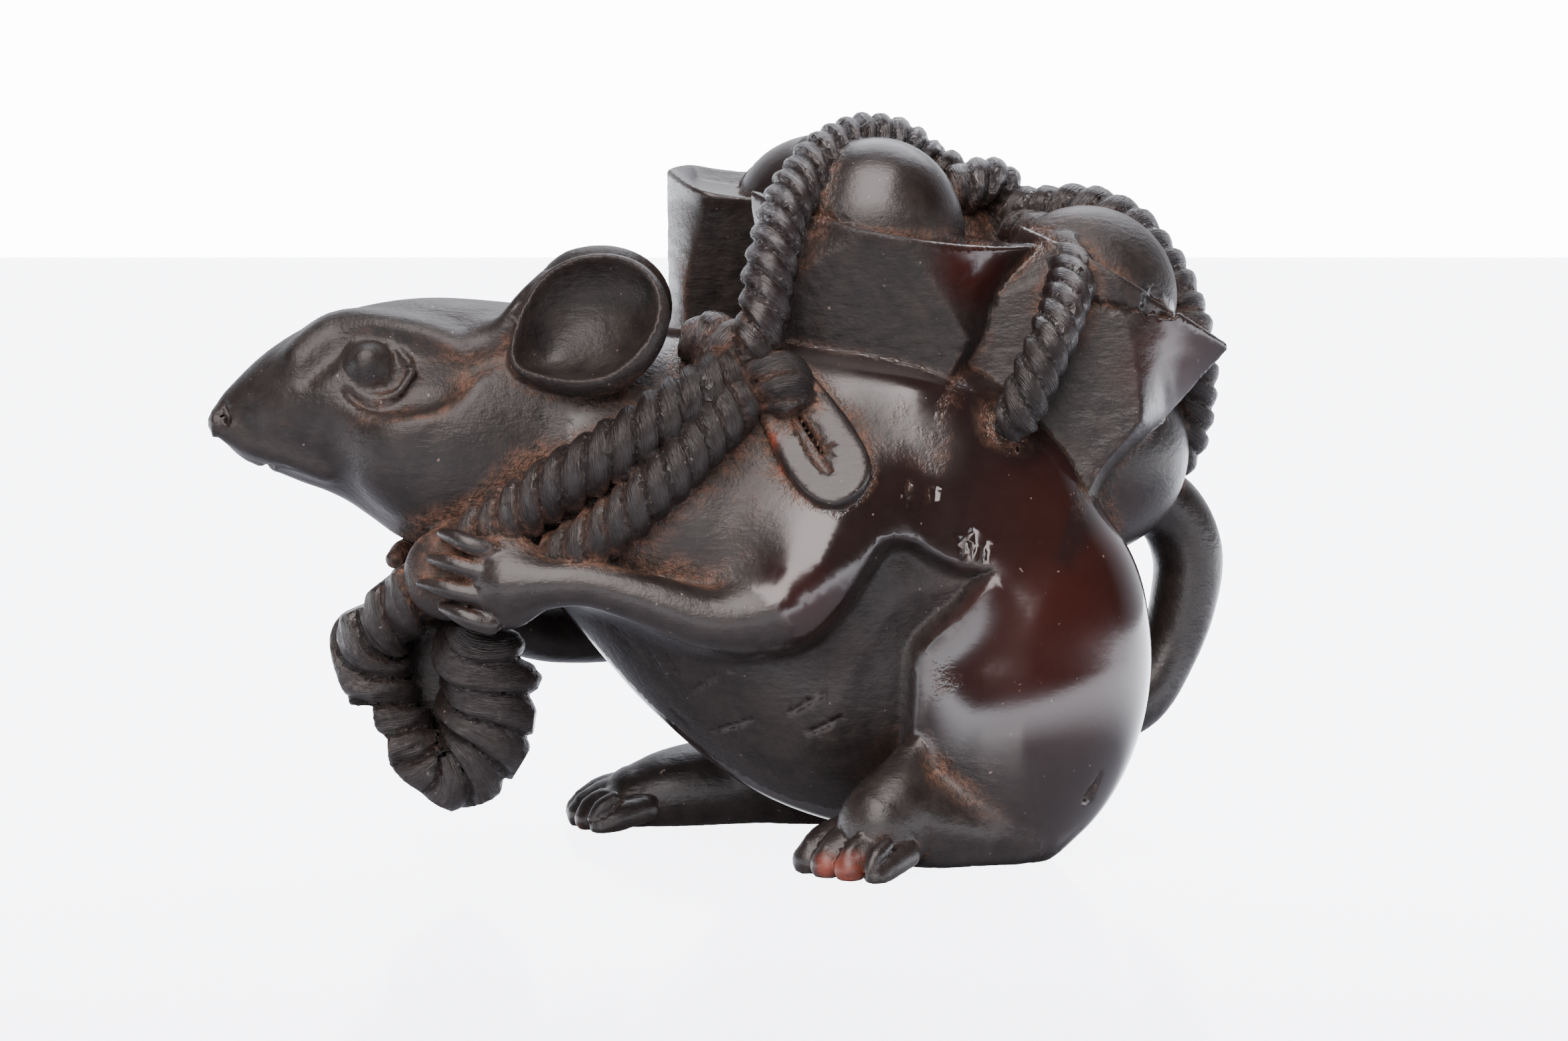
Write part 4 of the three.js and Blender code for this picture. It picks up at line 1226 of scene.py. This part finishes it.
DUSTY = [
    (-13.5, -9.8, 15.2, 3.0), (-9.5, -11.5, 16.3, 3.0), (-5.0, -11.0, 16.0, 3.2), (-1.5, -10.6, 15.6, 3.0),
    (1.6, -10.4, 17.2, 3.2), (-15.8, -9.6, 22.4, 2.4), (-13.0, -10.6, 22.0, 2.6), (-11.2, -10.0, 24.4, 1.8),
    (3.0, -9.6, 21.6, 3.4), (6.0, -9.2, 20.6, 3.0), (9.6, -8.6, 19.6, 2.4), (14.5, -6.0, 18.0, 2.2),
    (19.0, -2.0, 17.6, 3.0), (11.0, -1.6, 30.6, 2.4), (13.2, -2.8, 29.6, 2.0), (9.5, -11.8, 4.4, 2.6),
    (12.5, -10.0, 3.0, 2.4), (10.6, -11.0, 9.0, 1.6), (-19.6, -8.6, 21.2, 1.6), (0.5, -9.6, 25.4, 2.6),
    (10.8, -6.0, 29.8, 2.6), (23.0, 0.4, 25.0, 3.0), (17.6, -3.0, 29.0, 2.6), (-10.0, -12.4, 20.0, 2.4),
]
BARE = [
    (5.0, -13.2, 0.9, 0.9), (6.2, -13.0, 0.8, 0.8), (7.6, -12.8, 0.9, 0.6), (-6.9, 3.9, 0.8, 0.5),
    (2.5, -10.9, 20.4, 0.4), (3.2, -11.2, 19.3, 0.35), (9.7, -12.6, 3.4, 0.35), (9.5, -12.4, 6.4, 0.3),
    (-2.0, -10.4, 25.2, 0.5), (-14.6, -9.0, 21.0, 0.4),
]
RED = [(15.5, -8.0, 11.6, 4.8), (14.5, -6.8, 16.0, 3.6), (4.0, -11.6, 13.6, 1.8), (17.5, -6.0, 14.5, 3.6),
       (12.0, -7.0, 28.4, 2.0), (21.6, -5.0, 23.4, 2.6)]
# where the polished back has gone dull: beside the ropes and the ingots, and behind the foot
DULLED = [
    (-4.5, -9.6, 21.6, 3.2), (-0.5, -11.0, 14.8, 3.0), (1.6, -11.0, 16.6, 2.4),
    (1.0, -10.4, 18.0, 3.4), (3.6, -10.0, 21.0, 3.4), (-1.5, -10.6, 15.6, 3.0), (6.6, -9.4, 20.8, 2.2),
    (10.0, -8.6, 19.8, 1.6), (14.6, -6.2, 18.0, 1.6), (11.6, -9.6, 3.2, 3.2), (8.8, -11.0, 4.0, 2.6),
]


def lies_on(distance, p, within_mm=0.1):
    return np.abs(distance(p)) < within_mm


# How polished each part is, from 0 for knife-cut wood to 1 for a mirror
POLISH = dict(other=0.36, low_down=0.26, head=0.15, ears=0.08, trunk=1.0, cut_flank=0.12, ingot=0.1,
              high_rope=0.75, low_rope=0.34, fist=0.05)
LOW_DOWN = 6.5  # the feet lie below this height
HIGH_ROPE = 25.0  # and the rope round the ingots above this one


def recess_and_wear(carving, p, normals):
    """How shut in each point is, and how sharp an edge it lies on."""
    open_near = carving.field(p + normals * 0.5) / 0.5
    open_wide = carving.field(p + normals * 1.3) / 1.3
    solid_near = -carving.field(p - normals * 0.4) / 0.4
    recess = np.clip(1 - open_near, 0, 1) * 0.55 + np.clip(1 - open_wide, 0, 1) * 0.75
    wear = np.clip(1.0 - solid_near, 0, 1) * np.clip(1 - recess * 2, 0, 1)
    return recess, wear


def on_ropes(carving, p):
    """Whether each point is on a rope, its place in the strand, and how near a rope it is."""
    rope = np.zeros(len(p))
    strand = np.zeros((len(p), 3))
    beside_rope = np.zeros(len(p))
    for number, run in enumerate(carving.ropes):
        near = np.flatnonzero(within(p, run.low, run.high, 1.2))
        gaps, across, along = run.strand(p[near])
        hit = gaps < 0.05
        rope[near[hit]] = 1
        width = 2 * math.pi * run.radius / 6
        strand[near[hit]] = np.stack([across[hit] * width, along[hit], np.full(hit.sum(), number * 7.0)], 1)
        beside_rope[near] = np.maximum(beside_rope[near], np.clip(1.2 - gaps, 0, 1))
    return rope, strand, beside_rope


def polish_of(p, rope, above):
    """How polished each point is. The flank is cut dull where it isn't above its line."""
    trunk = lies_on(trunk_field, p, 0.08)
    ears = lies_on(NEAR_EAR["distance"], p) | lies_on(FAR_EAR["distance"], p)
    polish = np.full(len(p), POLISH["other"])
    polish[p[:, 2] < LOW_DOWN] = POLISH["low_down"]
    polish[lies_on(head_distance, into_head(p), 1.4)] = POLISH["head"]
    polish[ears] = POLISH["ears"]
    polish[trunk] = POLISH["trunk"] - 0.85 * spots(p[trunk], DULLED)
    edge = np.interp(above, [-0.7, 0.4], [POLISH["cut_flank"], POLISH["trunk"]])
    polish = np.where(trunk & (p[:, 1] < -5), np.minimum(polish, edge), polish)
    for metal in INGOTS:
        on = lies_on(metal["distance"], p, 0.12)
        handled = 0.14 if metal is INGOTS[0] else 0.7
        polish[on] = POLISH["ingot"] + handled * np.clip(metal["tip"](p[on]), 0, 1)
        polish[on] = np.maximum(polish[on], 0.5 * np.clip(p[on, 2] - 30.5, 0, 1))
    run = np.where(p[:, 2] > HIGH_ROPE, POLISH["high_rope"], POLISH["low_rope"])
    polish = np.where(rope > 0, run, polish)
    polish[lies_on(FIST["distance"], p, 0.15)] = POLISH["fist"]
    polish[lies_on(LOOP_WEB["distance"], p)] = 0
    return np.clip(polish, 0, 1)


def dust_of(p, rope, beside_rope, recess, above):
    """How much dust lies on each point: in recesses, beside the ropes, and most in the dusty spots."""
    dusty = spots(p, DUSTY)
    dust = recess * (0.75 - 0.45 * rope) - 0.1 + dusty * (0.16 + recess * 0.6)
    dust += (1 - rope) * beside_rope * 0.22
    dust = np.where(p[:, 1] < -5, dust * np.interp(above, [-0.5, 0.5], [0.45, 1.0]), dust)
    dust[p[:, 0] < -21] *= 0.3
    dust[lies_on(FIST["distance"], p, 0.15)] += 0.1
    dust[lies_on(LOOP_WEB["distance"], p)] = 0
    eyes = egg(into_head(p) * (1, -1, 1), (-7.4, 3.4, 23.5), (2.3, 1.6, 2.2)) < 0
    dust[eyes] *= 0.45
    return np.clip(dust, 0, 1)


def paint(carving, mesh, p, normals):
    """Writes what the wood's material reads: dust, wear, rope, strand, bare, polish, red."""
    recess, wear = recess_and_wear(carving, p, normals)
    rope, strand, beside_rope = on_ropes(carving, p)
    from_line, below_line = on_flank(p)
    above = np.where(below_line, -from_line, from_line)
    painted = {
        "dust": dust_of(p, rope, beside_rope, recess, above),
        "wear": wear,
        "rope": rope,
        "bare": spots(p, BARE),
        "polish": polish_of(p, rope, above),
        "red": np.clip(spots(p, RED), 0, 1) * np.clip(1 - recess * 3, 0, 1),
    }
    for name, values in painted.items():
        mesh.attributes.new(name, "FLOAT", "POINT").data.foreach_set("value", values.astype(np.float32))
    data = mesh.attributes.new("strand", "FLOAT_VECTOR", "POINT").data
    data.foreach_set("vector", strand.astype(np.float32).ravel())


def carve():
    wood = stained_wood()
    carving = Carving(wood)
    values = fill_grid(carving.field, CELL)
    points, faces = surface_net(values, CELL)
    points, faces = largest_skin(points, faces)
    mesh = bpy.data.meshes.new("netsuke")
    # a little unevenness keeps the flat walls from thinning too far
    uneven = np.random.default_rng(3).normal(0, UNEVENNESS, points.shape)
    mesh.from_pydata((points + uneven).tolist(), [], faces.tolist())
    mesh = thinned(mesh, MOST_TRIANGLES)
    p = settle_on_skin(carving.field, corners_of(mesh))
    box = np.array(cad_box) / MM + (CENTRE[0], CENTRE[1], GROUND_CUT)
    p = np.clip(p, box[0] + 0.005, box[1] - 0.005)
    p[:, 2] = np.maximum(p[:, 2], GROUND_CUT)
    normals, _ = slope(carving.field, p, 0.09)
    paint(carving, mesh, p, normals)
    part = (p - (CENTRE[0], CENTRE[1], GROUND_CUT)) * MM
    mesh.vertices.foreach_set("co", part.astype(np.float32).ravel())
    mesh.update()
    mesh.shade_smooth()
    mesh.normals_split_custom_set_from_vertices(normals.tolist())
    mesh.name = "netsuke_carving"
    mesh.materials.clear()
    mesh.materials.append(wood)
    piece = link("netsuke_carving", mesh)
    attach(piece, "root")
    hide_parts("netsuke")
    return piece


# Studio


def floor(half=3.0):
    """A pale, smooth table top, brighter toward the wall behind it."""
    mesh = bpy.data.meshes.new("table_top")
    corners = [(-half, -half, 0), (half, -half, 0), (half, half, 0), (-half, half, 0)]
    mesh.from_pydata(corners, [], [(0, 1, 2, 3)])
    top = link("table_top", mesh)
    gloss = bpy.data.materials.new("white acrylic")
    gloss.use_nodes = True
    tree = gloss.node_tree
    tree.nodes.clear()
    add = functools.partial(put, tree)
    facing = add("ShaderNodeLayerWeight", {"Blend": 0.5}, out="Facing")
    glow = add(RANGE, [facing, 0.6, 0.9, 0.0, 6.5], interpolation_type="SMOOTHSTEP")
    # the front of the table is left in shade
    place = add("ShaderNodeTexCoord", out="Object")
    depth = add("ShaderNodeSeparateXYZ", [place], out="Y")
    lit = add(RANGE, {0: depth, 1: -0.16, 2: -0.06}, interpolation_type="SMOOTHSTEP")
    glow = add(MATH, [glow, lit], operation="MULTIPLY")
    shader = add("ShaderNodeBsdfPrincipled", {
        "Base Color": linear("#a9adb6"), "Roughness": 0.1, "IOR": 1.45,
        "Emission Color": linear("#f6f8ff"), "Emission Strength": glow,
    })
    add("ShaderNodeOutputMaterial", [shader])
    mesh.materials.append(gloss)
    top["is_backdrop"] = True


def soft_box(name, at, aim, size, watts, colour):
    lamp = bpy.data.lights.new(name, "AREA")
    lamp.shape = "RECTANGLE"
    lamp.size, lamp.size_y = size
    lamp.energy = watts
    lamp.color = linear(colour)[:3]
    box = link(name, lamp)
    box.location = at
    box.rotation_euler = (Vector(aim) - Vector(at)).to_track_quat("-Z", "Y").to_euler()


def room():
    """A white wall stands behind the table, and the rest of the room is dark."""
    world = bpy.data.worlds.new("room")
    bpy.context.scene.world = world
    world.use_nodes = True
    tree = world.node_tree
    tree.nodes.clear()
    add = functools.partial(put, tree)
    place = add("ShaderNodeTexCoord", out="Generated")
    toward = add("ShaderNodeSeparateXYZ", [place], out="Y")
    wall = add(RANGE, [toward, 0.1, 0.9, 0.04, 2.0])
    dim = add("ShaderNodeBackground", {"Color": linear("#f4f6ff"), "Strength": wall})
    bright = add("ShaderNodeBackground", {"Color": linear("#ffffff"), "Strength": 14.0})
    seen = add("ShaderNodeLightPath", out="Is Camera Ray")
    both = add("ShaderNodeMixShader", [seen, dim, bright])
    add("ShaderNodeOutputWorld", [both])


def studio():
    floor()
    soft_box("front_panel", at=(-0.05, -0.36, 0.36), aim=(0.02, 0.0, 0.01), size=(0.38, 0.62),
             watts=9.0, colour="#fff6f4")
    soft_box("back_panel", at=(0.08, 0.24, 0.42), aim=(0.0, 0.0, 0.01), size=(0.4, 0.36),
             watts=2.5, colour="#f4f6ff")
    room()


def camera(target_mm=(2.617, 1.035, 15.65), distance_mm=211.6, above=math.radians(4.0), lens=100.0):
    """A long lens a little above the table, square to the piece's near side."""
    toward = np.array((0, -math.cos(above), math.sin(above)))
    data = bpy.data.cameras.new("camera")
    data.lens = lens
    data.sensor_width = 36.0
    data.clip_start = 0.01
    eye = link("camera", data)
    eye.location = (np.array(target_mm) + distance_mm * toward) * MM
    eye.rotation_euler = (math.radians(90) - above, 0, 0)
    bpy.context.scene.camera = eye


camera()
studio()
carve()

bpy.context.view_layer.update()
boxes = {"cad": cad_box, "visual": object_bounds()}
{name: [list(map(float, corner)) for corner in box] for name, box in boxes.items()}
